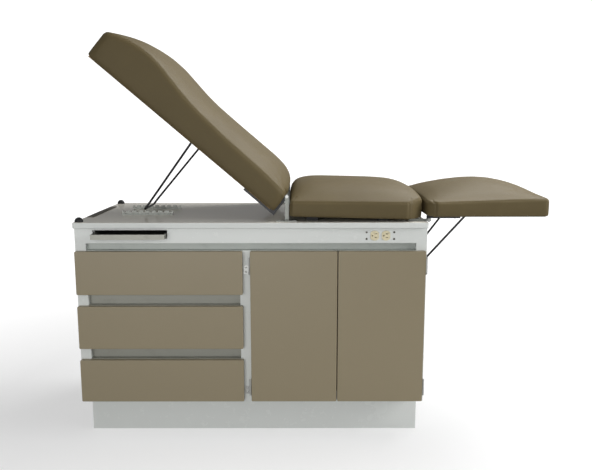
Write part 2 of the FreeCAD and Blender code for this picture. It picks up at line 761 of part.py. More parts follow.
def crowned_block(name, left, right, end_wall, wall, crown, clip=None):
    """A pad whose top bulges both ways: the common part of a side view, an end view and a plan."""
    half = size("pad_width") / 2
    along = [(left, 0), (right, 0), (right, end_wall, crown - end_wall), (left, end_wall)]
    across = [(-half, 0), (half, 0), (half, wall, crown - wall), (-half, wall)]
    side = pad(f"{name}_side", "xz", along, -half, half)
    end = pad(f"{name}_end", "yz", across, left, right)
    shapes = [side, end]
    if clip:
        shapes.append(pad(f"{name}_plan", "xy", clip, 0, crown))
    return common(name, shapes)


def clipped_plan(left, right, clip_x, clip_y, at_right):
    """A rectangle with the two corners of one end cut off."""
    half = size("pad_width") / 2
    if at_right:
        return [(left, -half), (right - clip_x, -half), (right, clip_y - half), (right, half - clip_y),
                (right - clip_x, half), (left, half)]
    return [(left + clip_x, -half), (right, -half), (right, half), (left + clip_x, half),
            (left, half - clip_y), (left, clip_y - half)]


def cushion_on_board(label, blank, left, right):
    """Recess the cushion for its plywood board; the cover wraps round the board's edges."""
    span = ((left, right), half_width(), (0, size("board_thick")))
    board = box(f"{label}_ply", *span)
    return board, cut(f"{label}_cover", blank, box(f"{label}_recess", *span))


def half_width():
    half = size("pad_width") / 2 - size("board_inset")
    return (-half, half)


seat_right = half_length - size("seat_end_gap")
seat_left = seat_right - size("seat_length")
back_hinge = (seat_left - size("back_to_seat"), slab_top + size("back_hinge_rise"))


def on_backrest(label, shapes):
    """Place pieces drawn about the backrest hinge, with the backrest flat, at its raised angle."""
    return keep(place(group(label, shapes), back_hinge[0], 0, back_hinge[1], axis=(0, 1, 0),
                      angle=size("back_angle")), label)


def lifted(shape, name, x, z):
    return place(group(name, [shape]), x, 0, z)


def backrest():
    right = -size("back_hinge_gap")
    left = right - size("back_length")
    low = -size("back_axis_up")
    main = crowned_block("back_main", left, right, size("back_wall"), size("back_wall"), size("back_crown"))
    head = crowned_block("back_head", left, left + size("back_head_length"), size("back_head_end"),
                         size("back_head_wall"), size("back_head_crown"))
    inset = size("board_inset")
    board, cover = cushion_on_board("back", fuse("back_pad", [main, head]), left + inset, right - inset)
    on_backrest("backrest_board", [lifted(board, "back_board_set", 0, low)])
    on_backrest("backrest_cushion", [lifted(cover, "back_cover_set", 0, low)])
    backrest_hinge(low)
    reach = size("back_prop_reach")
    prop_clips("backrest_prop_clips", on_backrest, -reach, low, size("back_prop_top_half"))
    drop = size("back_axis_up") + size("prop_drop")
    angle = size("back_angle")
    pivot_x = back_hinge[0] - reach * angle.cos() - drop * angle.sin()
    pivot_z = back_hinge[1] + reach * angle.sin() - drop * angle.cos()
    run = pivot_x - (size("rack_x") - half_length + notch_run(size("back_prop_notch")))
    fall = pivot_z - (slab_top + size("rack_height") + size("back_prop_over") + size("rod_radius"))
    prop("backrest_prop", pivot_x, pivot_z, run, fall, size("back_prop_half"), size("back_prop_top_half"),
         size("back_prop_straight"))


def backrest_hinge(low):
    """Ears on the slab and arms under the backrest board share a pin on each side."""
    ears, arms, pins = [], [], []
    half = size("ear_half")
    sheet_thick = size("ear_sheet")
    foot_half = size("ear_foot_length") / 2
    x, z = back_hinge
    pivot = size("pivot_radius")
    for name, sign in (("near", -1), ("far", 1)):
        outer = sign * size("ear_y")
        inner = sign * (size("ear_y") - sheet_thick)
        ear_span = sorted_pair(outer, inner, sign)
        post = box(f"ear_{name}_post", (x - half, x + half), ear_span, (slab_top, z))
        crest = rod(f"ear_{name}_crest", "y", half, ear_span[0], ear_span[1], (x, z))
        foot_span = sorted_pair(outer + sign * (size("ear_foot_width") - sheet_thick), inner, sign)
        foot = box(f"ear_{name}_foot", (x - foot_half, x + foot_half), foot_span,
                   (slab_top, slab_top + size("ear_foot_thick")))
        ears.append(drilled_across(f"ear_{name}", [post, crest, foot], x, z, ear_span, 0))
        arm_outer = inner - sign * size("arm_gap")
        arm_inner = arm_outer - sign * sheet_thick
        arm_span = sorted_pair(arm_outer, arm_inner, sign)
        arms.append(backrest_arm(name, sign, arm_span, arm_inner, low))
        head = sorted_pair(outer + sign * size("pin_head_thick"), outer, sign)
        tail = sorted_pair(arm_inner, arm_inner - sign * size("pin_head_thick"), sign)
        shank = (tail[0], head[1]) if sign > 0 else (head[0], tail[1])
        pins.append(fuse(f"back_pin_{name}", [
            rod(f"back_pin_{name}_shank", "y", pivot, shank[0], shank[1], (x, z)),
            rod(f"back_pin_{name}_head", "y", size("pin_head"), head[0], head[1], (x, z)),
            rod(f"back_pin_{name}_nut", "y", size("pin_head"), tail[0] - sign * size("arm_gap"),
                tail[1] - sign * size("arm_gap"), (x, z))]))
    keep(group("backrest_ears", ears), "backrest_ears")
    on_backrest("backrest_arms", arms)
    keep(group("backrest_hinge_pins", pins), "backrest_hinge_pins")


def drilled_across(name, pieces, x, z, span, clear):
    low, high = run_past(span)
    hole = rod(f"{name}_hole", "y", size("pivot_radius") + clear, low, high, (x, z))
    return cut(name, fuse(f"{name}_blank", pieces), hole)


def backrest_arm(name, sign, span, inner, low):
    """An L-shaped plate: one limb up the cushion's end to the pivot, one along under the board."""
    half = size("ear_half")
    depth = size("arm_depth")
    left = -size("arm_length")
    limb = box(f"arm_{name}_limb", (-half, half), span, (low - depth, 0))
    crest = rod(f"arm_{name}_crest", "y", half, span[0], span[1], (0, 0))
    rail = box(f"arm_{name}_rail", (left, half), span, (low - depth, low))
    flange_span = sorted_pair(span[1] if sign > 0 else span[0], inner - sign * size("arm_flange"), sign)
    flange_right = -size("back_hinge_gap") - size("board_inset")
    flange = box(f"arm_{name}_flange", (left, flange_right), flange_span,
                 (low - size("arm_flange_thick"), low))
    return drilled_across(f"arm_{name}", [limb, crest, rail, flange], 0, 0, span, size("pin_clear"))


def prop_clips(label, placer, x, low, half):
    """Saddle clips under a board that hold the prop's turned-out ends."""
    clips = []
    length = size("clip_length")
    for sign in (-1, 1):
        near = sign * (half + size("rod_radius") + size("clip_gap"))
        far = near + sign * size("clip_width")
        span = sorted_pair(far, near, sign)
        block = box("clip_block", (x - length / 2, x + length / 2), span, (low - size("clip_depth"), low))
        start, stop = run_past(span)
        hole = rod("clip_hole", "y", size("rod_radius") + size("pin_clear"), start, stop,
                   (x, low - size("prop_drop")))
        clips.append(cut("clip", block, hole))
    return placer(label, clips)


def arc_about(across, up, radius, first, last):
    """An arc about a centre, anticlockwise from one angle to another, in degrees."""
    circle = Part.Circle(FreeCAD.Vector(across, up, 0), FreeCAD.Vector(0, 0, 1), radius)
    return Part.ArcOfCircle(circle, math.radians(first), math.radians(last))


def prop(label, x, z, run, fall, half, top_half, straight):
    """A prop bent from round rod: a narrow crossbar, legs that spread, and turned-out ends as pivots.

    Its pivot is at x, z, and its crossbar lies a run to the left of that and a fall below it.
    """
    length = run.diagonal(fall)
    end = top_half + size("rod_radius") + size("clip_gap") + size("prop_pin")
    spine = doc.addObject("Sketcher::SketchObject", f"{label}_spine")
    edges = prop_spine(spine, length, half, top_half, straight, end)
    section = doc.addObject("Part::Circle", f"{label}_section")
    bind(section, "Radius", size("rod_radius"))
    place(section, 0, -end, 0, axis=(1, 0, 0), angle=90)
    sweep = doc.addObject("Part::Sweep", f"{label}_rod")
    sweep.Sections = [section]
    sweep.Spine = (spine, [f"Edge{i + 1}" for i in range(edges)])
    sweep.Solid = True
    sweep.Transition = "Round corner"
    keep(place(group(label, [sweep]), x, 0, z, axis=(0, 1, 0), angle=-fall.slope_over(run)), label)


def prop_spine(spine, length, half, top_half, straight, end):
    """Draw the rod's middle line, from one pivot end to the other, with an arc at each of its four bends."""
    bend = size("prop_bend")
    spread = straight - length
    zero = as_size(0)
    pins = [((zero, -end), (zero, -top_half)), ((zero, top_half), (zero, end))]
    flats = [((spread, -half), (bend - length, -half)), ((bend - length, half), (spread, half))]
    crossbar = ((-length, bend - half), (-length, half - bend))
    radius = bend.number
    aside = FreeCAD.Vector(spread.number + radius, top_half.number - half.number, 0)
    turn = math.degrees(math.atan2(aside.y, aside.x) - math.acos(radius / aside.Length))
    leave = arc_about(-radius, -top_half.number, radius, 0, turn)
    arrive = arc_about(-radius, top_half.number, radius, -turn, 0)
    corner = (radius - length.number, half.number - radius)
    near = arc_about(corner[0], -corner[1], radius, 180, 270)
    far = arc_about(corner[0], corner[1], radius, 90, 180)
    spots = [[FreeCAD.Vector(a.number, b.number, 0) for a, b in line] for line in (*pins, *flats, crossbar)]
    shapes = [Part.LineSegment(*spots[0]), leave, Part.LineSegment(leave.EndPoint, spots[2][0]),
              Part.LineSegment(*spots[2]), near, Part.LineSegment(*spots[4]), far,
              Part.LineSegment(*spots[3]), Part.LineSegment(spots[3][1], arrive.StartPoint), arrive,
              Part.LineSegment(*spots[1])]
    for shape in shapes:
        spine.addGeometry(shape, False)
    for index, line in ((0, pins[0]), (3, flats[0]), (5, crossbar), (7, flats[1]), (10, pins[1])):
        fix_point(spine, index, 1, line[0])
        fix_point(spine, index, 2, line[1])
    for kind, first, first_end, second, second_end in (
            ("Tangent", 0, 2, 1, 1), ("Tangent", 1, 2, 2, 1), ("Coincident", 2, 2, 3, 1),
            ("Tangent", 3, 2, 4, 2), ("Coincident", 4, 1, 5, 1), ("Coincident", 5, 2, 6, 2),
            ("Tangent", 6, 1, 7, 1), ("Coincident", 7, 2, 8, 1), ("Tangent", 8, 2, 9, 1),
            ("Tangent", 9, 2, 10, 1)):
        spine.addConstraint(Sketcher.Constraint(kind, first, first_end, second, second_end))
    for arc in (1, 9):
        index = spine.addConstraint(Sketcher.Constraint("Radius", arc, radius))
        spine.setExpression(f"Constraints[{index}]", bend.text)
    return len(shapes)


def seat():
    right = size("seat_length")
    blank = crowned_block("seat_pad", 0, right, size("seat_wall"), size("seat_wall"), size("seat_crown"),
                          clipped_plan(0, right, size("seat_clip_x"), size("seat_clip_y"), True))
    board_right = right - size("seat_clip_x")
    board, cover = cushion_on_board("seat", blank, size("board_inset"), board_right)
    x = seat_left
    z = slab_top + size("seat_rise")
    for label, shape in (("seat_board", board), ("seat_cushion", cover)):
        keep(place(group(label, [shape]), x, 0, z, axis=(0, 1, 0), angle=size("seat_pitch")), label)
    fall = size("seat_pitch").tan()
    half = size("pad_width") / 2 - size("spacer_end_inset")
    pieces = []
    for start in (size("spacer_inset"), board_right - size("spacer_inset") - size("spacer_width")):
        stop = start + size("spacer_width")
        outline = [(x + start, slab_top), (x + stop, slab_top), (x + stop, z - stop * fall),
                   (x + start, z - start * fall)]
        pieces.append(pad("seat_spacer", "xz", outline, -half, half))
    keep(group("seat_spacers", pieces), "seat_spacers")


leg_hinge = (half_length + size("leg_hinge_out"), slab_top + size("leg_hinge_rise"))


def leg():
    left = seat_right + size("leg_gap")
    right = left + size("leg_length")
    low = slab_top + size("leg_rise")
    blank = crowned_block("leg_pad", left, right, size("leg_wall"), size("leg_wall"), size("leg_crown"),
                          clipped_plan(left, right, size("leg_clip_x"), size("leg_clip_y"), False))
    board, cover = cushion_on_board("leg", blank, left + size("leg_clip_x"), right - size("board_inset"))
    keep(lifted(board, "leg_board", 0, low), "leg_board")
    keep(lifted(cover, "leg_cushion", 0, low), "leg_cushion")
    leg_hinges(low)
    pivot_x = leg_hinge[0] + size("leg_prop_reach")

    def as_drawn(label, shapes):
        return keep(group(label, shapes), label)

    prop_clips("leg_prop_clips", as_drawn, pivot_x, low, size("leg_prop_top_half"))
    pivot_z = low - size("prop_drop")
    seat_out = size("leg_rack_height") - size("notch_depth") + size("notch_radius")
    run = pivot_x - (side_x + seat_out)
    fall = pivot_z - (slab_top - size("leg_rack_top") - notch_run(size("leg_prop_notch")))
    prop("leg_prop", pivot_x, pivot_z, run, fall, size("leg_prop_half"), size("leg_prop_top_half"),
         size("leg_prop_straight"))


def leg_hinges(low):
    """Flat ears on the slab's foot end and arms under the leg board, pinned just past the slab."""
    ears, arms, pins = [], [], []
    x, z = leg_hinge
    boss = size("leg_boss")
    sheet_thick = size("leg_ear_sheet")
    for name, sign in (("near", -1), ("far", 1)):
        outer = sign * size("ear_y")
        inner = outer - sign * sheet_thick
        ear_span = sorted_pair(outer, inner, sign)
        bar = box(f"leg_ear_{name}_bar", (x - size("leg_ear_length"), x), ear_span,
                  (slab_top, slab_top + size("leg_ear_height")))
        round_end = rod(f"leg_ear_{name}_boss", "y", boss, ear_span[0], ear_span[1], (x, z))
        ears.append(drilled_across(f"leg_ear_{name}", [bar, round_end], x, z, ear_span, 0))
        arm_outer = inner - sign * size("arm_gap")
        arm_inner = arm_outer - sign * sheet_thick
        arm_span = sorted_pair(arm_outer, arm_inner, sign)
        neck = box(f"leg_arm_{name}_neck", (x - boss, x + boss), arm_span, (z, low))
        rail = box(f"leg_arm_{name}_rail", (x - boss, x + size("leg_arm_length")), arm_span,
                   (slab_top + size("leg_arm_low"), low))
        tip = rod(f"leg_arm_{name}_boss", "y", boss, arm_span[0], arm_span[1], (x, z))
        arms.append(drilled_across(f"leg_arm_{name}", [neck, rail, tip], x, z, arm_span, size("pin_clear")))
        head = sorted_pair(outer + sign * size("pin_head_thick"), outer, sign)
        tail = sorted_pair(arm_inner, arm_inner - sign * size("pin_head_thick"), sign)
        shank = (tail[0], head[1]) if sign > 0 else (head[0], tail[1])
        pins.append(fuse(f"leg_pin_{name}", [
            rod(f"leg_pin_{name}_shank", "y", size("pivot_radius"), shank[0], shank[1], (x, z)),
            rod(f"leg_pin_{name}_head", "y", size("pin_head"), head[0], head[1], (x, z)),
            rod(f"leg_pin_{name}_nut", "y", size("pin_head"), tail[0] - sign * size("arm_gap"),
                tail[1] - sign * size("arm_gap"), (x, z))]))
    keep(group("leg_ears", ears), "leg_ears")
    keep(group("leg_arms", arms), "leg_arms")
    keep(group("leg_hinge_pins", pins), "leg_hinge_pins")


cabinet()
face_frame()
top_rail()
plinth()
shelf()
drawers()
doors()
tray()
receptacle()
bumpers()
back_rack()
leg_rack()
backrest()
seat()
leg()
doc.recompute()

failed = [obj.Label for obj in doc.Objects if "Invalid" in obj.State or "Error" in obj.State]
failed += [label for label, obj in nodes.items() if obj.Shape.isNull() or not obj.Shape.isValid()]
if failed:
    raise SystemExit(f"failed objects: {failed}")

os.makedirs("parts", exist_ok=True)
for label, obj in nodes.items():
    obj.Shape.exportStep(f"parts/{label}.step")
    print(f"{label:28s} solids {len(obj.Shape.Solids):2d}  volume {obj.Shape.Volume / 1000:10.1f} cm3")
print("nodes", len(nodes))
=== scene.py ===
import bpy
import bmesh
import json
import math
import numpy as np
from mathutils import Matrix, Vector
from mathutils.bvhtree import BVHTree


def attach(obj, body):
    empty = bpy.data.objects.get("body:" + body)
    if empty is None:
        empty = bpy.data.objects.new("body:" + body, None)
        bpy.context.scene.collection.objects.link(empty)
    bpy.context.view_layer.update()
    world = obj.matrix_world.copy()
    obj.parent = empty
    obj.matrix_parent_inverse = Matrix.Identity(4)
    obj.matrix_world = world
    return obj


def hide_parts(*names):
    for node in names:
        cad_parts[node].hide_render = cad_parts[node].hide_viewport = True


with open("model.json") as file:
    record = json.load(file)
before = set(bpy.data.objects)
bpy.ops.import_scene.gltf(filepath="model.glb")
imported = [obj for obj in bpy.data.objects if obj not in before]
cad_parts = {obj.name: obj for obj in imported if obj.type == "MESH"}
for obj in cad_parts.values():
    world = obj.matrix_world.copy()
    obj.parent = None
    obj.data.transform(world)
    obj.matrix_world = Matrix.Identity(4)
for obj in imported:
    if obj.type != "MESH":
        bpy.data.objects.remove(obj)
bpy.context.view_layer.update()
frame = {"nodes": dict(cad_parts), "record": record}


# the output of a shader node, so that sums and products of outputs can be written plainly
class Wire:
    def __init__(self, tree, socket):
        self.tree = tree
        self.socket = socket

    def calc(self, operation, first, second):
        node = self.tree.nodes.new("ShaderNodeMath")
        node.operation = operation
        feed(self.tree, node.inputs[0], first)
        feed(self.tree, node.inputs[1], second)
        return Wire(self.tree, node.outputs[0])

    def __add__(self, other):
        return self.calc("ADD", self, other)

    def __radd__(self, other):
        return self.calc("ADD", other, self)

    def __sub__(self, other):
        return self.calc("SUBTRACT", self, other)

    def __mul__(self, other):
        return self.calc("MULTIPLY", self, other)

    def __rmul__(self, other):
        return self.calc("MULTIPLY", other, self)


def feed(tree, socket, value):
    if isinstance(value, Wire):
        tree.links.new(value.socket, socket)
    elif isinstance(value, (tuple, list)) and len(value) == 3 and len(socket.default_value) == 4:
        socket.default_value = (*value, 1.0)
    else:
        socket.default_value = value


socketNames = {
    "color": "Base Color", "rough": "Roughness", "metal": "Metallic", "normal": "Normal",
    "specular": "Specular IOR Level", "glow": "Emission Color", "glowStrength": "Emission Strength",
}


class Finish:
    def __init__(self, name):
        self.material = bpy.data.materials.new(name)
        self.material.use_nodes = True
        self.tree = self.material.node_tree
        self.tree.nodes.clear()
        output = self.tree.nodes.new("ShaderNodeOutputMaterial")
        self.shader = self.tree.nodes.new("ShaderNodeBsdfPrincipled")
        self.tree.links.new(self.shader.outputs[0], output.inputs[0])
        self.where = self.node("ShaderNodeTexCoord", {}, {}, "Object")

    # one method for every other node: its settings first, then its sockets
    def node(self, kind, settings, sockets, output=0):
        made = self.tree.nodes.new(kind)
        for key, value in settings.items():
            setattr(made, key, value)
        for key, value in sockets.items():
            feed(self.tree, made.inputs[key], value)
        return Wire(self.tree, made.outputs[output])

    def noise(self, scale, detail=3.0, rough=0.5, where=None):
        sockets = {"Vector": where or self.where, "Scale": scale, "Detail": detail, "Roughness": rough}
        return self.node("ShaderNodeTexNoise", {}, sockets, "Fac")

    def stretched(self, x, y, z):
        return self.node("ShaderNodeMapping", {}, {"Vector": self.where, "Scale": (x, y, z)})

    def mask(self, value, low, high):
        settings = {"clamp": True}
        return self.node("ShaderNodeMapRange", settings, {"Value": value, "From Min": low, "From Max": high})

    def blend(self, factor, first, second):
        sockets = {0: factor, 6: first, 7: second}
        return self.node("ShaderNodeMix", {"data_type": "RGBA"}, sockets, 2)

    def bump(self, height, strength, distance, under=None):
        sockets = {"Height": height, "Strength": strength, "Distance": distance}
        if under:
            sockets["Normal"] = under
        return self.node("ShaderNodeBump", {}, sockets)

    def set(self, **sockets):
        for key, value in sockets.items():
            feed(self.tree, self.shader.inputs[socketNames[key]], value)
        return self.material


def shade(color, factor):
    return tuple(min(1.0, c * factor) for c in color)


# linear values of a colour that is written as on a screen
def fromHex(text):
    parts = [int(text[i:i + 2], 16) / 255 for i in (0, 2, 4)]
    return tuple(c / 12.92 if c <= 0.04045 else ((c + 0.055) / 1.055) ** 2.4 for c in parts)


# finishes: a share is how much of a tone is mixed in, and a shade is a factor on a colour
# the slab tone is a painted reflection: a beige for the cushions' undersides seen in the slab's top
paintLook = {
    "white": fromHex("D5D8D5"), "slab": fromHex("DAD6CB"), "dust": fromHex("B9BAB2"),
    "cloudScale": 3.0, "cloudShare": 0.35, "cloudShade": 0.93, "cloudRough": 0.05,
    "scuffScale": 38.0, "scuffBand": (0.58, 0.74), "scuffShare": 0.09, "scuffRough": 0.06,
    "peelScale": 260.0, "peelStrength": 0.05, "peelHeight": 0.0006, "paintedReflectionBand": (0.6, 0.9),
}


# the upward faces of a panel can have a tone of their own: a painted reflection, used on the slab's top for
# the cushions' undersides
def whitePaint(name, gloss, upper=None, specular=0.5):
    look = paintLook
    finish = Finish(name)
    cloud = finish.noise(look["cloudScale"], detail=4.0, rough=0.6)
    scuff = finish.mask(finish.noise(look["scuffScale"], detail=6.0, rough=0.7), *look["scuffBand"])
    tone = finish.blend(cloud * look["cloudShare"], look["white"], shade(look["white"], look["cloudShade"]))
    # painted reflection: a tone of its own on faces that point up
    if upper:
        facing = finish.node("ShaderNodeNewGeometry", {}, {}, "Normal")
        upward = finish.node("ShaderNodeSeparateXYZ", {}, {"Vector": facing}, "Z")
        tone = finish.blend(finish.mask(upward, *look["paintedReflectionBand"]), tone, upper)
    tone = finish.blend(scuff * look["scuffShare"], tone, look["dust"])
    rough = gloss + scuff * look["scuffRough"] + cloud * look["cloudRough"]
    peel = finish.bump(finish.noise(look["peelScale"], detail=2.0), look["peelStrength"], look["peelHeight"])
    return finish.set(color=tone, rough=rough, specular=specular, normal=peel)


laminateLook = {
    "front": fromHex("8B8067"), "worn": fromHex("A0957B"), "rough": 0.42,
    "cloudScale": 2.2, "cloudShare": 0.5, "cloudShades": (0.94, 1.08), "cloudGloss": 0.06,
    "speckScale": 900.0, "speckShare": 0.18, "speckShade": 0.8,
    "rubbedScale": 16.0, "rubbedBand": (0.62, 0.8), "rubbedShare": 0.25, "rubbedRough": 0.12,
    "grainScale": 520.0, "grainStrength": 0.10, "grainHeight": 0.0005,
}


def frontLaminate(name):
    look = laminateLook
    finish = Finish(name)
    cloud = finish.noise(look["cloudScale"], detail=3.0, rough=0.5)
    speck = finish.noise(look["speckScale"], detail=2.0, rough=0.6)
    rubbed = finish.mask(finish.noise(look["rubbedScale"], detail=6.0, rough=0.72), *look["rubbedBand"])
    dark, pale = [shade(look["front"], factor) for factor in look["cloudShades"]]
    tone = finish.blend(cloud * look["cloudShare"], dark, pale)
    tone = finish.blend(speck * look["speckShare"], tone, shade(look["front"], look["speckShade"]))
    tone = finish.blend(rubbed * look["rubbedShare"], tone, look["worn"])
    rough = look["rough"] + rubbed * look["rubbedRough"] - cloud * look["cloudGloss"]
    grain = finish.noise(look["grainScale"], detail=3.0, rough=0.6)
    return finish.set(color=tone, rough=rough,
                      normal=finish.bump(grain, look["grainStrength"], look["grainHeight"]))


axisX, axisZ = 0, 2
metalLook = {
    "acrossScale": 420.0, "alongScale": 9.0, "lineShare": 0.4, "lineShades": (0.88, 1.08),
    "lineRough": 0.12, "lineStrength": 0.08, "lineHeight": 0.0004,
    "stainScale": 24.0, "stainBand": (0.55, 0.78), "stainShare": 0.3, "stainShade": 0.62, "stainRough": 0.12,
}


def drawnMetal(name, hexColor, rough, along, metal=1.0):
    look = metalLook
    finish = Finish(name)
    color = fromHex(hexColor)
    stretch = [look["acrossScale"]] * 3
    stretch[along] = look["alongScale"]
    lines = finish.noise(scale=1.0, detail=3.0, rough=0.6, where=finish.stretched(*stretch))
    stain = finish.mask(finish.noise(look["stainScale"], detail=5.0, rough=0.7), *look["stainBand"])
    dark, pale = [shade(color, factor) for factor in look["lineShades"]]
    tone = finish.blend(lines * look["lineShare"], dark, pale)
    tone = finish.blend(stain * look["stainShare"], tone, shade(color, look["stainShade"]))
    dulled = rough + lines * look["lineRough"] + stain * look["stainRough"]
    bumps = finish.bump(lines, look["lineStrength"], look["lineHeight"])
    return finish.set(color=tone, rough=dulled, metal=metal, normal=bumps)


boardLook = {
    "ringScales": (6.0, 60.0, 60.0), "ringShare": 0.7, "ringShades": (0.86, 1.1), "ringRough": 0.15,
    "rough": 0.5, "ringStrength": 0.12, "ringHeight": 0.0006,
}


def flatBoard(name, hexColor):
    look = boardLook
    finish = Finish(name)
    rings = finish.noise(scale=1.0, detail=4.0, rough=0.6, where=finish.stretched(*look["ringScales"]))
    dark, pale = [shade(fromHex(hexColor), factor) for factor in look["ringShades"]]
    tone = finish.blend(rings * look["ringShare"], dark, pale)
    bumps = finish.bump(rings, look["ringStrength"], look["ringHeight"])
    return finish.set(color=tone, rough=look["rough"] + rings * look["ringRough"], normal=bumps)


mouldedLook = {
    "cloudScale": 14.0, "cloudShare": 0.5, "cloudShades": (0.9, 1.12), "cloudRough": 0.1,
    "grainStrength": 0.12, "grainHeight": 0.0005,
}


def moulded(name, hexColor, rough, grainScale):
    look = mouldedLook
    finish = Finish(name)
    grain = finish.noise(grainScale, detail=3.0, rough=0.6)
    cloud = finish.noise(look["cloudScale"], detail=4.0, rough=0.6)
    dark, pale = [shade(fromHex(hexColor), factor) for factor in look["cloudShades"]]
    tone = finish.blend(cloud * look["cloudShare"], dark, pale)
    bumps = finish.bump(grain, look["grainStrength"], look["grainHeight"])
    return finish.set(color=tone, rough=rough + cloud * look["cloudRough"], normal=bumps)


vinylLook = {
    "side": fromHex("5C5137"), "deep": fromHex("4F4530"), "light": fromHex("6A5E42"),
    "rough": 0.54, "specular": 0.14,
    "cloudScale": 4.5, "sideShare": 0.55, "cloudShare": 0.2, "cloudGloss": 0.05,
    "poreScale": 620.0, "poreBand": (0.0, 0.12), "poreStrength": 0.16, "poreHeight": 0.0006,
    "creaseScale": 120.0, "creaseStrength": 0.10, "creaseHeight": 0.0012,
    "wornScale": 9.0, "wornBand": (0.55, 0.8), "wornShare": 0.18, "wornShade": 1.12, "wornRough": 0.10,
}


def cushionVinyl(name):
    look = vinylLook
    finish = Finish(name)
    cloud = finish.noise(look["cloudScale"], detail=4.0, rough=0.55)
    pores = finish.node("ShaderNodeTexVoronoi", {"feature": "DISTANCE_TO_EDGE"},
                        {"Vector": finish.where, "Scale": look["poreScale"]}, "Distance")
    creases = finish.noise(look["creaseScale"], detail=5.0, rough=0.65)
    worn = finish.mask(finish.noise(look["wornScale"], detail=5.0, rough=0.7), *look["wornBand"])
    tone = finish.blend(cloud, look["deep"], look["light"])
    tone = finish.blend(look["sideShare"] + cloud * look["cloudShare"], tone, look["side"])
    tone = finish.blend(worn * look["wornShare"], tone, shade(look["light"], look["wornShade"]))
    rough = look["rough"] + worn * look["wornRough"] - cloud * look["cloudGloss"]
    grain = finish.bump(finish.mask(pores, *look["poreBand"]), look["poreStrength"], look["poreHeight"])
    grain = finish.bump(creases, look["creaseStrength"], look["creaseHeight"], grain)
    return finish.set(color=tone, rough=rough, specular=look["specular"], normal=grain)


whiteGloss = whitePaint("whitePaint", gloss=0.24)
# the slab's top gets a beige tone as a painted reflection of the cushions' undersides
slabGloss = whitePaint("slabPaint", gloss=0.10, upper=paintLook["slab"], specular=0.05)
taupe = frontLaminate("taupeLaminate")
boardWhite = flatBoard("drawerBoard", "CFCBC0")
plywood = flatBoard("plywood", "A98558")
# painted shade: the finger channels are white recesses, and these greys stand for the shade that falls in
# them
fingerChannelPaintedShade = drawnMetal("fingerChannelPaintedShade", "B0B5B0", rough=0.42, along=axisX, metal=0.30)
drawerChannelShade = drawnMetal("drawerChannelPaintedShade", "98988F", rough=0.42, along=axisX, metal=0.30)
trayMetal = drawnMetal("trayMetal", "8E8E86", rough=0.34, along=axisX, metal=0.8)
bareSteel = drawnMetal("bareSteel", "BEBFBC", rough=0.30, along=axisZ)
rackSteel = drawnMetal("rackSteel", "8B8D88", rough=0.36, along=axisX)
darkSteel = drawnMetal("darkScrew", "5B5750", rough=0.38, along=axisZ)
# black enamel of the prop rods; on the hinge arms the same black is painted shade under the cushions
blackEnamelAndArmShade = moulded("blackEnamelAndArmShade", "17171A", rough=0.35, grainScale=300.0)
# black rubber of the bumpers; on the seat spacers the same black is painted shade in the gap under the seat
blackRubberAndGapShade = moulded("blackRubberAndGapShade", "18181A", rough=0.55, grainScale=500.0)
darkStrip = moulded("darkStrip", "66625A", rough=0.62, grainScale=700.0)
ivory = moulded("ivoryPlastic", "D9CFAE", rough=0.32, grainScale=260.0)
catchPlastic = moulded("catchPlastic", "D8D8D2", rough=0.45, grainScale=300.0)
vinyl = cushionVinyl("cushionVinyl")
print("finishes made")

# a node has a finish of its own, or else that of its material slot
nodeFinish = {
    # the channels' grey finishes are painted shade of their recesses
    "top_slab": slabGloss, "finger_channel": fingerChannelPaintedShade, "drawer_channel_1": drawerChannelShade,
    "drawer_channel_2": drawerChannelShade, "tray_pan": trayMetal, "rubber_bumpers": blackRubberAndGapShade,
    "head_strip": darkStrip, "back_rack": rackSteel, "leg_rack": rackSteel, "receptacle_body": ivory,
    # painted shade: the seat spacers are black so that the gap under the seat reads as shadow
    "receptacle_screws": darkSteel, "door_catches": catchPlastic, "seat_spacers": blackRubberAndGapShade,
    # painted shade: the hinge arms take the black so that they read as the shadow under the cushions
    "backrest_arms": blackEnamelAndArmShade, "backrest_ears": rackSteel, "leg_arms": blackEnamelAndArmShade, "leg_ears": rackSteel,
}
slotFinish = {
    "white_panel": whiteGloss, "front_laminate": taupe, "drawer_board": boardWhite, "steel": bareSteel,
    "plywood": plywood, "black_rod": blackEnamelAndArmShade, "vinyl": vinyl,
}
nodeSlots = {entry["node"]: entry["material_slot"] for entry in frame["record"]["subparts"]}
for node, part in frame["nodes"].items():
    finish = nodeFinish.get(node) or slotFinish[nodeSlots[node]]
    for place in part.material_slots:
        place.material = finish
print("CAD nodes finished", len(frame["nodes"]))

# cushions: stations are (metres along, metres up) from the end at the hip, seen from the side,
# and a board is where the cover's board starts and ends along the cushion
backPad = {
    "name": "backrestPad", "node": "backrest_cushion", "body": "backrest", "length": 0.806, "width": 0.600,
    "crown": [(0.0, 0.086), (0.010, 0.103), (0.028, 0.117), (0.055, 0.126), (0.11, 0.131), (0.30, 0.1305),
              (0.40, 0.1315), (0.466, 0.136), (0.530, 0.145), (0.60, 0.1545), (0.66, 0.155), (0.71, 0.149),
              (0.755, 0.136), (0.785, 0.121), (0.806, 0.104)],
    "wall": [(0.0, 0.074), (0.06, 0.080), (0.108, 0.083), (0.28, 0.0875), (0.433, 0.099), (0.50, 0.111),
             (0.56, 0.124), (0.615, 0.136), (0.67, 0.138), (0.73, 0.127), (0.78, 0.109), (0.806, 0.096)],
    "dome": 3.0, "clipStart": (0.0, 0.0), "clipEnd": (0.0, 0.0), "cornerRound": 0.016,
    "pivot": (0.124, 0.870), "offset": (-0.007, -0.068), "direction": -1, "turn": 40.5,
    "hipSwell": 0.007, "hipToe": 0.006, "slitDepth": 0.007,
    "voxel": 0.0086, "cap": 0.004, "board": (0.0, 0.806),
}
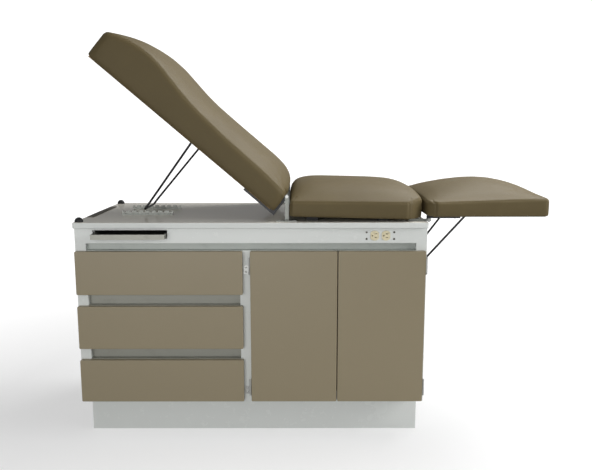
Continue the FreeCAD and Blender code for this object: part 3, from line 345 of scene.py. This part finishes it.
seatPad = {
    "name": "seatPad", "node": "seat_cushion", "body": "cabinet", "length": 0.462, "width": 0.600,
    "crown": [(0.0, 0.070), (0.008, 0.088), (0.020, 0.101), (0.040, 0.1095), (0.070, 0.1135), (0.12, 0.1152),
              (0.22, 0.1155), (0.30, 0.1152), (0.340, 0.114), (0.380, 0.111), (0.415, 0.105), (0.440, 0.098),
              (0.454, 0.088), (0.462, 0.076)],
    "wall": [(0.0, 0.050), (0.20, 0.053), (0.462, 0.058)],
    "dome": 3.2, "clipStart": (0.0, 0.0), "clipEnd": (0.050, 0.055), "cornerRound": 0.006,
    "pivot": (0.133, 0.805), "offset": (0.0, 0.0), "direction": 1, "turn": 1.5,
    "hipSwell": 0.0, "hipToe": 0.0, "slitDepth": 0.0,
    "voxel": 0.0058, "cap": 0.003, "board": (0.0, 0.420),
}
legPad = {
    "name": "legPad", "node": "leg_cushion", "body": "leg_section", "length": 0.416, "width": 0.600,
    "crown": [(0.0, 0.060), (0.015, 0.070), (0.05, 0.082), (0.09, 0.092), (0.14, 0.1015), (0.20, 0.1085),
              (0.248, 0.110), (0.295, 0.107), (0.342, 0.098), (0.377, 0.086), (0.403, 0.072),
              (0.416, 0.063)],
    "wall": [(0.0, 0.049), (0.20, 0.054), (0.416, 0.062)],
    "dome": 2.5, "clipStart": (0.023, 0.028), "clipEnd": (0.0, 0.0), "cornerRound": 0.008,
    "pivot": (0.606, 0.803), "offset": (0.0, 0.0), "direction": 1, "turn": 0.0,
    "hipSwell": 0.0, "hipToe": 0.0, "slitDepth": 0.0,
    "voxel": 0.0056, "cap": 0.003, "board": (0.011, 0.416), "foldedProp": 0.103,
}
padForm = {
    "cage": (72, 54, 10), "samples": 600, "evened": 60, "crownSpread": 0.006, "wallSpread": 0.02,
    "waist": 0.006, "bulge": 0.008, "leastDome": 0.004, "cornerPull": 0.6,
    "hipLow": 0.15, "hipSpan": 0.7, "hipFade": 10,
}
padCorners = [(0, 0), (0, 1), (1, 0), (1, 1)]
armSlit = {"middle": 0.257, "half": 0.010}


# a profile through its stations, with the corners evened out by a bell-shaped average
def smoothProfile(stations, length, spread):
    count = padForm["samples"]
    reach = padForm["evened"]
    spots = np.linspace(0.0, length, count)
    rough = np.interp(spots, [s for s, _ in stations], [t for _, t in stations])
    offsets = np.arange(-reach, reach + 1) * (length / (count - 1))
    weights = np.exp(-0.5 * (offsets / spread) ** 2)
    before = 2 * rough[0] - rough[reach:0:-1]
    after = 2 * rough[-1] - rough[-2:-reach - 2:-1]
    padded = np.concatenate([before, rough, after])
    return spots, np.convolve(padded, weights / weights.sum(), "valid")


class PadShape:
    def __init__(self, pad):
        self.pad = pad
        self.half = pad["width"] / 2
        self.angle = math.radians(pad["turn"])
        self.crownAt = smoothProfile(pad["crown"], pad["length"], padForm["crownSpread"])
        self.wallAt = smoothProfile(pad["wall"], pad["length"], padForm["wallSpread"])

    # u runs along, v across and w up, each from 0 to 1 over the pad
    def local(self, u, v, w):
        pad = self.pad
        y = (2 * v - 1) * self.half
        low = self.clipped(np.abs(y), pad["clipStart"])
        high = pad["length"] - self.clipped(np.abs(y), pad["clipEnd"])
        s = low + u * (high - low)
        t = w * self.top(s, y)
        s, y = self.roundCorners(s, y, low, high)
        s = s - self.hipSwell(u, np.abs(y), w)
        waist = padForm["waist"] * np.sin(np.pi * np.clip(s / pad["length"], 0, 1))
        bulge = padForm["bulge"] * np.sin(np.pi * w)
        return s, y * (1 - waist + bulge), t

    # the end at the hip swells, and leaves a slit for each arm of the hinge
    def hipSwell(self, u, reach, w):
        pad = self.pad
        clear = np.clip((np.abs(reach - armSlit["middle"]) - armSlit["half"]) / armSlit["half"], 0, 1)
        rise = np.sin(np.pi * (padForm["hipLow"] + padForm["hipSpan"] * w))
        swell = pad["hipSwell"] * rise + pad["hipToe"] * (1 - w) ** 2
        return (swell * clear - pad["slitDepth"] * (1 - clear)) * (1 - u) ** padForm["hipFade"]

    def clipped(self, reach, clip):
        if clip[1] == 0:
            return np.zeros_like(reach)
        return clip[0] * np.clip((reach - (self.half - clip[1])) / clip[1], 0, 1)

    def top(self, s, y):
        crown = np.interp(s, *self.crownAt)
        wall = np.interp(s, *self.wallAt)
        across = np.clip(np.abs(y) / self.half, 0, 1)
        return wall + np.maximum(crown - wall, padForm["leastDome"]) * (1 - across ** self.pad["dome"])

    def roundCorners(self, s, y, low, high):
        radius = self.pad["cornerRound"]
        pull = radius * padForm["cornerPull"]
        fromEnd = np.minimum(s - low, high - s)
        fromSide = self.half - np.abs(y)
        inEnd = np.clip(1 - fromEnd / (2 * radius), 0, 1)
        inSide = np.clip(1 - fromSide / (2 * radius), 0, 1)
        y = y - np.sign(y) * pull * inEnd ** 2 * inSide
        middle = (low + high) / 2
        s = s - np.sign(s - middle) * pull * inSide ** 2 * inEnd
        return s, y

    def world(self, s, y, t):
        pad = self.pad
        sine = math.sin(self.angle)
        cosine = math.cos(self.angle)
        x = pad["offset"][0] + pad["direction"] * s
        z = pad["offset"][1] + t
        return np.stack([pad["pivot"][0] + x * cosine + z * sine, y,
                         pad["pivot"][1] - x * sine + z * cosine], axis=-1)

    # the way that the board's top faces
    def up(self):
        return np.array([math.sin(self.angle), 0.0, math.cos(self.angle)])

    # metres above the board, for points in the frame
    def heightOf(self, spots):
        floor = self.world(np.zeros(1), np.zeros(1), np.zeros(1))[0]
        return (spots - floor) @ self.up()

    def spot(self, u, v, w):
        return self.world(*self.local(np.asarray(u, float), np.asarray(v, float), np.asarray(w, float)))


# the six sides of a pad as grids of faces
def padCage(shape):
    counts = padForm["cage"]
    grid = {}
    corners = []
    faces = []

    def corner(key):
        if key not in grid:
            grid[key] = len(corners)
            corners.append([key[0] / counts[0], key[1] / counts[1], key[2] / counts[2]])
        return grid[key]

    for axis in range(3):
        first, second = [a for a in range(3) if a != axis]
        for end in (0, counts[axis]):
            for i in range(counts[first]):
                for j in range(counts[second]):
                    loop = []
                    for di, dj in ((0, 0), (1, 0), (1, 1), (0, 1)):
                        key = [0, 0, 0]
                        key[axis], key[first], key[second] = end, i + di, j + dj
                        loop.append(corner(tuple(key)))
                    faces.append(loop)
    corners = np.array(corners)
    return shape.spot(corners[:, 0], corners[:, 1], corners[:, 2]), faces


def meshFrom(name, spots, faces, mergeWithin=1e-5):
    mesh = bpy.data.meshes.new(name)
    mesh.from_pydata([tuple(p) for p in spots], [], faces)
    work = bmesh.new()
    work.from_mesh(mesh)
    bmesh.ops.remove_doubles(work, verts=work.verts, dist=mergeWithin)
    bmesh.ops.recalc_face_normals(work, faces=work.faces)
    work.to_mesh(mesh)
    work.free()
    return mesh


def addPiece(name, mesh, finish=None):
    piece = bpy.data.objects.new(name, mesh)
    bpy.context.scene.collection.objects.link(piece)
    if finish:
        mesh.materials.append(finish)
    return piece


# the mesh that a piece has with its modifiers, which are then removed
def bakeModifiers(piece):
    view = bpy.context.evaluated_depsgraph_get()
    baked = bpy.data.meshes.new_from_object(piece.evaluated_get(view))
    piece.modifiers.clear()
    piece.data = baked


def spotsOf(mesh):
    flat = np.empty(len(mesh.vertices) * 3)
    mesh.vertices.foreach_get("co", flat)
    return flat.reshape(-1, 3)


def normalsOf(mesh):
    flat = np.empty(len(mesh.vertices) * 3)
    mesh.vertex_normals.foreach_get("vector", flat)
    return flat.reshape(-1, 3)


def setSpots(mesh, spots):
    mesh.vertices.foreach_set("co", spots.ravel())
    mesh.update()


stuffing = {
    "heldBelow": 0.010, "freeAbove": 0.034, "shrink": 0.003, "frames": 20, "passes": 40,
    "cloth": {
        "quality": 5, "mass": 0.3, "tension_stiffness": 20, "compression_stiffness": 20,
        "shear_stiffness": 10, "bending_stiffness": 6, "use_pressure": True, "uniform_pressure_force": 4.0,
    },
}


# a field mixed half and half with its average over neighbouring vertices, some times over
def evenOut(mesh, field, passes):
    ends = np.empty(len(mesh.edges) * 2, dtype=int)
    mesh.edges.foreach_get("vertices", ends)
    first, second = ends.reshape(-1, 2).T
    count = np.bincount(ends, minlength=len(mesh.vertices))[:, None]
    for _ in range(passes):
        total = np.zeros_like(field)
        np.add.at(total, first, field[second])
        np.add.at(total, second, field[first])
        field = 0.5 * field + 0.5 * total / count
    return field


# the cover is cut a little tight, held at the board and blown up against its own stretch
def stuff(piece, shape):
    scene = bpy.context.scene
    rest = spotsOf(piece.data)
    height = shape.heightOf(rest)
    free = np.clip((height - stuffing["heldBelow"]) / (stuffing["freeAbove"] - stuffing["heldBelow"]), 0, 1)
    setSpots(piece.data, rest - stuffing["shrink"] * free[:, None] * normalsOf(piece.data))
    hold = piece.vertex_groups.new(name="board")
    held = np.nonzero(height < stuffing["heldBelow"])[0]
    hold.add([int(i) for i in held], 1.0, "REPLACE")
    cloth = piece.modifiers.new("stuffing", "CLOTH")
    for key, value in stuffing["cloth"].items():
        setattr(cloth.settings, key, value)
    cloth.settings.vertex_group_mass = "board"
    cloth.settings.effector_weights.gravity = 0
    cloth.point_cache.frame_start = 1
    cloth.point_cache.frame_end = stuffing["frames"]
    for step in range(stuffing["frames"]):
        scene.frame_set(step + 1)
    view = bpy.context.evaluated_depsgraph_get()
    swollen = spotsOf(piece.evaluated_get(view).to_mesh())
    piece.evaluated_get(view).to_mesh_clear()
    piece.modifiers.clear()
    piece.vertex_groups.clear()
    scene.frame_set(1)
    setSpots(piece.data, rest)
    # only the outward part of the movement is kept
    facing = normalsOf(piece.data)
    move = evenOut(piece.data, swollen - rest, stuffing["passes"])
    outward = np.clip((move * facing).sum(axis=1), 0.0, shape.pad["cap"]) * free
    setSpots(piece.data, rest + facing * evenOut(piece.data, outward[:, None], stuffing["passes"]))


sewing = {
    "seamPoints": 420, "seamDepth": 0.0018, "seamWidth": 0.004,
    "pleatPoints": 30, "pleatDepth": 0.0015, "pleatWidth": 0.0028, "overPoints": 14, "overTop": 0.05,
    "ridgeHeight": 0.0004, "ridgeAway": 0.007, "ridgeWidth": 0.004,
}


# steps round a rectangle: the side that each is on, and how far along that side it is
def aroundRectangle(count):
    steps = np.linspace(0, 4, count, endpoint=False)
    side = np.floor(steps).astype(int)
    return side, steps - side


# the seam where the top panel is sewn to the boxing, as a closed line of points
def seamLine(shape):
    count = sewing["seamPoints"]
    side, part = aroundRectangle(count)
    u = np.choose(side, [part, np.ones(count), 1 - part, np.zeros(count)])
    v = np.choose(side, [np.zeros(count), part, np.ones(count), 1 - part])
    return shape.spot(u, v, np.ones(count))


# a tuck in the cover at a corner: up the wall, then a little way over the top
def pleatLine(shape, u, v):
    rise = np.linspace(0.0, 1.0, sewing["pleatPoints"])
    inward = np.linspace(0.0, sewing["overTop"], sewing["overPoints"])
    wall = shape.spot(np.full(len(rise), u), np.full(len(rise), v), rise)
    top = shape.spot(u + (1 - 2 * u) * inward, v + (1 - 2 * v) * inward, np.ones(len(inward)))
    return np.concatenate([wall, top])


# worked out for some points of the line at a time, to save memory
def distanceTo(spots, line, batch=60):
    nearest = np.full(len(spots), np.inf)
    for start in range(0, len(line), batch):
        gap = spots[:, None, :] - line[None, start:start + batch, :]
        nearest = np.minimum(nearest, np.sqrt((gap ** 2).sum(axis=2)).min(axis=1))
    return nearest


def bell(distance, width):
    return np.exp(-(distance / width) ** 2)


# the seam and the tucks are sunk into the cover
def sew(piece, shape):
    spots = spotsOf(piece.data)
    tree = BVHTree.FromPolygons([tuple(p) for p in spots], [list(f.vertices) for f in piece.data.polygons])

    # distances from a line that is first drawn onto the cover
    def awayFrom(line):
        return distanceTo(spots, np.array([tree.find_nearest(Vector(p))[0] for p in line]))

    sink = sewing["seamDepth"] * bell(awayFrom(seamLine(shape)), sewing["seamWidth"])
    for u, v in padCorners:
        gap = awayFrom(pleatLine(shape, u, v))
        tuck = sewing["pleatDepth"] * bell(gap, sewing["pleatWidth"])
        ridge = sewing["ridgeHeight"] * bell(gap - sewing["ridgeAway"], sewing["ridgeWidth"])
        sink += tuck - ridge
    setSpots(piece.data, spots - normalsOf(piece.data) * sink[:, None])


def makePad(pad):
    shape = PadShape(pad)
    piece = addPiece(pad["name"], meshFrom(pad["name"], *padCage(shape)))
    remesh = piece.modifiers.new("even", "REMESH")
    remesh.mode = "VOXEL"
    remesh.voxel_size = pad["voxel"]
    soften = piece.modifiers.new("soften", "SMOOTH")
    soften.factor = 0.5
    soften.iterations = 2
    bakeModifiers(piece)
    stuff(piece, shape)
    finer = piece.modifiers.new("finer", "SUBSURF")
    finer.levels = 1
    finer.render_levels = 1
    bakeModifiers(piece)
    sew(piece, shape)
    for polygon in piece.data.polygons:
        polygon.use_smooth = True
    piece.data.materials.append(vinyl)
    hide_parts(pad["node"])
    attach(piece, pad["body"])
    print("cushion", pad["name"], len(piece.data.polygons), "faces")
    return shape


backShape, seatShape, legShape = [makePad(pad) for pad in (backPad, seatPad, legPad)]

# fasteners: rows of screws on each body, every combination of the x, y and z values in a row
cabinetScrews = {
    "name": "cabinetScrews", "body": "cabinet", "head": 0.0036, "seed": 5,
    "rows": [
        {"facing": (0, 0, 1), "x": (0.099, 0.149), "y": (-0.2725, 0.2725), "z": (0.789,)},
        {"facing": (0, 0, 1), "x": (-0.483, -0.399, -0.315), "y": (-0.0935, 0.0935), "z": (0.788,)},
        {"facing": (1, 0, 0), "x": (0.611,), "y": (-0.1145, 0.1145), "z": (0.503, 0.586, 0.670)},
        {"facing": (0, -1, 0), "x": (-0.0180,), "y": (-0.2915,), "z": (0.172, 0.187, 0.611, 0.626)},
        {"facing": (1, 0, 0), "x": (0.6095,), "y": (-0.2810,), "z": (0.172, 0.187, 0.611, 0.626)},
        {"facing": (0, 1, 0), "x": (-0.584, -0.292, 0.0, 0.292, 0.584), "y": (0.297,), "z": (0.146, 0.755)},
        {"facing": (0, 1, 0), "x": (-0.584, 0.0, 0.584), "y": (0.297,), "z": (0.349, 0.552)},
    ],
}
earScrews = {
    "name": "footEarScrews", "body": "cabinet", "head": 0.0024, "seed": 11,
    "rows": [{"facing": (0, 0, 1), "x": (0.558, 0.588), "y": (-0.259, 0.259), "z": (0.792,)}],
}
legScrews = {
    "name": "legArmScrews", "body": "leg_section", "head": 0.0024, "seed": 17,
    "rows": [{"facing": (0, 0, -1), "x": (0.655, 0.710), "y": (-0.2526, 0.2526), "z": (0.793,)}],
}
backScrews = {
    "name": "backArmScrews", "body": "backrest", "head": 0.0036, "seed": 23, "along": (0.030, 0.068, 0.106),
    "across": (-0.240, 0.240), "under": -0.003,
}
# a screw head in shares of its radius, with the heights in it as shares of its own height
headForm = {
    "sides": 24, "height": 0.55, "profile": [(1.0, 0.0), (1.0, 0.3), (0.82, 0.78), (0.55, 1.0)],
    "crossArm": 0.44, "crossHalf": 0.11, "pitTaper": 0.8, "pitFloor": 0.35,
}
hemSizes = {"outer": 0.011, "inner": 0.030, "gap": 0.0001, "thick": 0.0009, "points": 360,
            "ripple": 0.0088, "rippleSpan": 21, "seed": 31}
stapleSizes = {"size": (0.010, 0.0011, 0.0007), "step": 0.038, "start": 0.02, "stop": 0.01,
               "hemShare": 0.62, "propRoom": 0.022, "spin": 0.25}


def latheHead(radius):
    sides = headForm["sides"]
    height = radius * headForm["height"]
    turns = [math.tau * k / sides for k in range(sides)]
    work = bmesh.new()
    rings = []
    for share, rise in headForm["profile"]:
        reach = radius * share
        circle = [(reach * math.cos(a), reach * math.sin(a), height * rise) for a in turns]
        rings.append([work.verts.new(spot) for spot in circle])
    for low, high in zip(rings, rings[1:]):
        for k in range(sides):
            work.faces.new((low[k - 1], low[k], high[k], high[k - 1]))
    work.faces.new(rings[0])
    cutCross(work, rings[-1], radius, height)
    bmesh.ops.recalc_face_normals(work, faces=work.faces)
    mesh = bpy.data.meshes.new("screwHead")
    work.to_mesh(mesh)
    work.free()
    return mesh


# a cross recess sunk into the flat that a ring of vertices encloses
def cutCross(work, ring, radius, height):
    arm = radius * headForm["crossArm"]
    half = radius * headForm["crossHalf"]
    taper = headForm["pitTaper"]
    quarter = [(arm, -half), (arm, half), (half, half)]
    outline = []
    for c, s in ((1, 0), (0, 1), (-1, 0), (0, -1)):
        outline += [(x * c - y * s, x * s + y * c) for x, y in quarter]
    rim = [work.verts.new((x, y, height)) for x, y in outline]
    pit = [work.verts.new((x * taper, y * taper, height * headForm["pitFloor"])) for x, y in outline]
    for k in range(len(outline)):
        work.faces.new((rim[k - 1], rim[k], pit[k], pit[k - 1]))
    work.faces.new(pit)
    loops = [work.edges.get((ring[k - 1], ring[k])) for k in range(len(ring))]
    loops += [work.edges.get((rim[k - 1], rim[k])) for k in range(len(rim))]
    bmesh.ops.bridge_loops(work, edges=loops)


# copies of one small piece on the vertices of a mesh, each turned to that vertex's facing and heading
def scatterTree():
    tree = bpy.data.node_groups.new("scatterPieces", "GeometryNodeTree")
    tree.interface.new_socket("Places", in_out="INPUT", socket_type="NodeSocketGeometry")
    for title, kind in (("Piece", "Object"), ("Spin", "Float"), ("Seed", "Int"), ("Finish", "Material")):
        tree.interface.new_socket(title, in_out="INPUT", socket_type="NodeSocket" + kind)
    tree.interface.new_socket("Pieces", in_out="OUTPUT", socket_type="NodeSocketGeometry")

    def node(kind, settings, sockets):
        made = tree.nodes.new(kind)
        for key, value in settings.items():
            setattr(made, key, value)
        for key, value in sockets.items():
            if isinstance(value, bpy.types.NodeSocket):
                tree.links.new(value, made.inputs[key])
            else:
                made.inputs[key].default_value = value
        return made

    given = node("NodeGroupInput", {}, {}).outputs
    named = {"data_type": "FLOAT_VECTOR"}
    facing = node("GeometryNodeInputNamedAttribute", named, {"Name": "facing"}).outputs[0]
    heading = node("GeometryNodeInputNamedAttribute", named, {"Name": "heading"}).outputs[0]
    axes = node("FunctionNodeAxesToRotation", {"primary_axis": "Z", "secondary_axis": "X"},
                {"Primary Axis": facing, "Secondary Axis": heading}).outputs[0]
    least = node("ShaderNodeMath", {"operation": "MULTIPLY"}, {0: given["Spin"], 1: -1.0}).outputs[0]
    angle = node("FunctionNodeRandomValue", {"data_type": "FLOAT"},
                 {2: least, 3: given["Spin"], "Seed": given["Seed"]}).outputs[1]
    spin = node("FunctionNodeAxisAngleToRotation", {}, {"Axis": (0.0, 0.0, 1.0), "Angle": angle}).outputs[0]
    turned = node("FunctionNodeRotateRotation", {"rotation_space": "LOCAL"},
                  {"Rotation": axes, "Rotate By": spin}).outputs[0]
    piece = node("GeometryNodeObjectInfo", {},
                 {"Object": given["Piece"], "As Instance": True}).outputs["Geometry"]
    copies = node("GeometryNodeInstanceOnPoints", {},
                  {"Points": given["Places"], "Instance": piece, "Rotation": turned}).outputs[0]
    solid = node("GeometryNodeRealizeInstances", {}, {"Geometry": copies}).outputs[0]
    painted = node("GeometryNodeSetMaterial", {},
                   {"Geometry": solid, "Material": given["Finish"]}).outputs[0]
    node("NodeGroupOutput", {}, {"Pieces": painted})
    return tree


scatter = scatterTree()


def scatterOn(name, places, facings, headings, model, spin, seed, finish):
    mesh = bpy.data.meshes.new(name)
    mesh.from_pydata([tuple(p) for p in places], [], [])
    for title, vectors in (("facing", facings), ("heading", headings)):
        field = mesh.attributes.new(title, "FLOAT_VECTOR", "POINT")
        field.data.foreach_set("vector", np.asarray(vectors, dtype=float).ravel())
    piece = addPiece(name, mesh)
    source = addPiece(name + "Model", model)
    copies = piece.modifiers.new("copies", "NODES")
    copies.node_group = scatter
    values = {"Piece": source, "Spin": spin, "Seed": seed, "Finish": finish}
    for item in scatter.interface.items_tree:
        if item.in_out == "INPUT" and item.name in values:
            copies[item.identifier] = values[item.name]
    bakeModifiers(piece)
    bpy.data.objects.remove(source)
    return piece


def addScrews(screws):
    spots = [(x, y, z, row["facing"]) for row in screws["rows"]
             for x in row["x"] for y in row["y"] for z in row["z"]]
    placeScrews(screws, [spot[:3] for spot in spots], [spot[3] for spot in spots])


def placeScrews(screws, places, facings):
    headings = [(f[1], f[2], f[0]) for f in facings]
    piece = scatterOn(screws["name"], places, facings, headings, latheHead(screws["head"]), math.pi,
                      screws["seed"], bareSteel)
    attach(piece, screws["body"])
    print("screws", screws["name"], len(places))


# the screws of the arms under the backrest's board
def addBackScrews(screws, shape):
    spots = [(s, y) for s in screws["along"] for y in screws["across"]]
    along, across = np.array(spots).T
    places = shape.world(along, across, np.full(len(spots), screws["under"]))
    placeScrews(screws, places, [-shape.up()] * len(spots))


# the cover's edge, turned under the board and stapled there
def addHem(shape):
    pad = shape.pad
    low, high = pad["board"]
    count = hemSizes["points"]
    side, part = aroundRectangle(count)

    def ring(inset, depth):
        left, right, edge = low + inset, high - inset, shape.half - inset
        s = np.choose(side, [left + part * (right - left), right, right - part * (right - left), left])
        y = np.choose(side, [-edge, -edge + part * 2 * edge, edge, edge - part * 2 * edge])
        return shape.world(s, y, np.full(count, -depth))

    chance = np.random.default_rng(hemSizes["seed"])
    span = hemSizes["rippleSpan"]
    ripple = np.convolve(chance.normal(0, 1, count + span - 1), np.ones(span) / span, "valid")
    outer = hemSizes["outer"]
    inner = hemSizes["inner"] + ripple * hemSizes["ripple"]
    upper = hemSizes["gap"]
    lower = hemSizes["thick"]
    rings = [ring(outer, upper), ring(outer, lower), ring(inner, lower), ring(inner, upper)]
    faces = []
    for a in range(len(rings)):
        b = (a + 1) % len(rings)
        for k in range(count):
            after = (k + 1) % count
            faces.append((a * count + k, a * count + after, b * count + after, b * count + k))
    hem = addPiece(pad["name"] + "Hem", meshFrom("hem", np.concatenate(rings), faces), vinyl)
    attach(hem, pad["body"])


def stapleCrown():
    crown = bmesh.new()
    bmesh.ops.create_cube(crown, size=1.0)
    bmesh.ops.scale(crown, vec=stapleSizes["size"], verts=crown.verts)
    model = bpy.data.meshes.new("stapleCrown")
    crown.to_mesh(model)
    crown.free()
    return model


def addStaples(shape):
    pad = shape.pad
    low, high = pad["board"]
    inset = hemSizes["outer"] + (hemSizes["inner"] - hemSizes["outer"]) * stapleSizes["hemShare"]
    left, right, edge = low + inset, high - inset, shape.half - inset
    start, stop, step = stapleSizes["start"], stapleSizes["stop"], stapleSizes["step"]
    alongs = np.arange(left + start, right - stop, step)
    acrosses = np.arange(-edge + start, edge - stop, step)
    # none at the far end where the rods of a folded prop lie against the board
    clear = acrosses
    if "foldedProp" in pad:
        clear = acrosses[np.abs(np.abs(acrosses) - pad["foldedProp"]) > stapleSizes["propRoom"]]
    s = np.concatenate([alongs, alongs, np.full(len(acrosses), left), np.full(len(clear), right)])
    y = np.concatenate([np.full(len(alongs), -edge), np.full(len(alongs), edge), acrosses, clear])
    places = shape.world(s, y, np.full(len(s), -hemSizes["thick"]))
    up = shape.up()
    lengthways = (up[2], 0.0, -up[0])
    crossways = (0.0, 1.0, 0.0)
    headings = [lengthways] * (2 * len(alongs)) + [crossways] * (len(acrosses) + len(clear))
    staples = scatterOn(pad["name"] + "Staples", places, [-up] * len(s), headings, stapleCrown(),
                        stapleSizes["spin"], hemSizes["seed"], bareSteel)
    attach(staples, pad["body"])
    print("staples", staples.name, len(s))


for screws in (cabinetScrews, earScrews, legScrews):
    addScrews(screws)
addBackScrews(backScrews, backShape)
for shape in (backShape, seatShape, legShape):
    addHem(shape)
    addStaples(shape)

# floor, light and camera
black = (0.0, 0.0, 0.0)
white = (1.0, 1.0, 1.0)
stageSizes = {"floor": 14.0, "bend": 2.4, "bendSteps": 16, "wallDistance": 4.5, "wallHeight": 6.0}
floorLook = {"fade": (1.1, 2.8), "nearGrey": 0.45, "farGrey": 0.30, "rough": 0.6, "specular": 0.2,
             "nearGlow": 0.48, "addedGlow": 0.52, "mirrored": 0.15}


def sweepFloor():
    depth = stageSizes["wallDistance"]
    bend = stageSizes["bend"]
    half = stageSizes["floor"]
    profile = [(-half, 0.0), (depth - bend, 0.0)]
    for step in range(stageSizes["bendSteps"]):
        angle = math.pi / 2 * (step + 1) / stageSizes["bendSteps"]
        profile.append((depth - bend + bend * math.sin(angle), bend - bend * math.cos(angle)))
    profile.append((depth, stageSizes["wallHeight"]))
    spots = [(x, y, z) for y, z in profile for x in (-half, half)]
    faces = [(2 * i, 2 * i + 1, 2 * i + 3, 2 * i + 2) for i in range(len(profile) - 1)]
    mesh = bpy.data.meshes.new("studioFloor")
    mesh.from_pydata(spots, [], faces)
    floor = addPiece("studioFloor", mesh, paleFloor("paleFloor"))


# the white of the background is seen by the camera and in reflections, and fades towards the object's shadow
def paleFloor(name):
    look = floorLook
    finish = Finish(name)
    camera = finish.node("ShaderNodeLightPath", {}, {}, "Is Camera Ray")
    glossy = finish.node("ShaderNodeLightPath", {}, {}, "Is Glossy Ray")
    away = finish.node("ShaderNodeVectorMath", {"operation": "LENGTH"}, {0: finish.where}, "Value")
    far = finish.mask(away, *look["fade"])
    glow = (camera + look["mirrored"] * glossy) * (look["nearGlow"] + look["addedGlow"] * far)
    tone = finish.blend(far, shade(white, look["nearGrey"]), shade(white, look["farGrey"]))
    return finish.set(color=tone, rough=look["rough"], specular=look["specular"],
                      glow=finish.blend(glow, black, white), glowStrength=1.0)


lamps = [
    {"name": "overhead", "power": 128, "sizes": (2.8, 2.2),
     "place": (1.6, 0.8, 3.2), "target": (0.2, 0.0, 0.8)},
    {"name": "footSide", "power": 62, "sizes": (1.8, 1.4),
     "place": (3.2, -1.3, 1.7), "target": (0.0, 0.0, 0.95)},
    {"name": "front", "power": 67, "sizes": (3.0, 2.0),
     "place": (-1.0, -4.2, 1.1), "target": (0.0, 0.0, 0.5)},
]
skyLook = {"light": 0.29, "addedWhenSeen": 0.71}


def addLamp(lamp):
    light = bpy.data.lights.new(lamp["name"], "AREA")
    light.shape = "RECTANGLE"
    light.size, light.size_y = lamp["sizes"]
    light.energy = lamp["power"]
    holder = bpy.data.objects.new(lamp["name"], light)
    holder.location = lamp["place"]
    aim = Vector(lamp["target"]) - Vector(lamp["place"])
    holder.rotation_euler = aim.to_track_quat("-Z", "Y").to_euler()
    bpy.context.scene.collection.objects.link(holder)


def lightRoom():
    world = bpy.data.worlds.new("studio")
    bpy.context.scene.world = world
    world.use_nodes = True
    tree = world.node_tree
    sky = tree.nodes["Background"]
    feed(tree, sky.inputs["Color"], white)
    seen = Wire(tree, tree.nodes.new("ShaderNodeLightPath").outputs["Is Camera Ray"])
    feed(tree, sky.inputs["Strength"], skyLook["light"] + skyLook["addedWhenSeen"] * seen)
    for lamp in lamps:
        addLamp(lamp)


photoView = {"place": (0.159, -2.535, 1.106), "pitch": 9.257, "yaw": 0.07, "roll": 0.08,
             "lens": 40.16, "sensor": 36.0}


def setCamera():
    camera = bpy.data.cameras.new("photoCamera")
    camera.sensor_width = photoView["sensor"]
    camera.lens = photoView["lens"]
    holder = bpy.data.objects.new("photoCamera", camera)
    holder.location = photoView["place"]
    holder.rotation_euler = (math.radians(90 - photoView["pitch"]), math.radians(photoView["roll"]),
                             math.radians(photoView["yaw"]))
    bpy.context.scene.collection.objects.link(holder)
    bpy.context.scene.camera = holder


sweepFloor()
lightRoom()
setCamera()
bpy.context.scene.view_settings.view_transform = "Standard"
print("stage set")
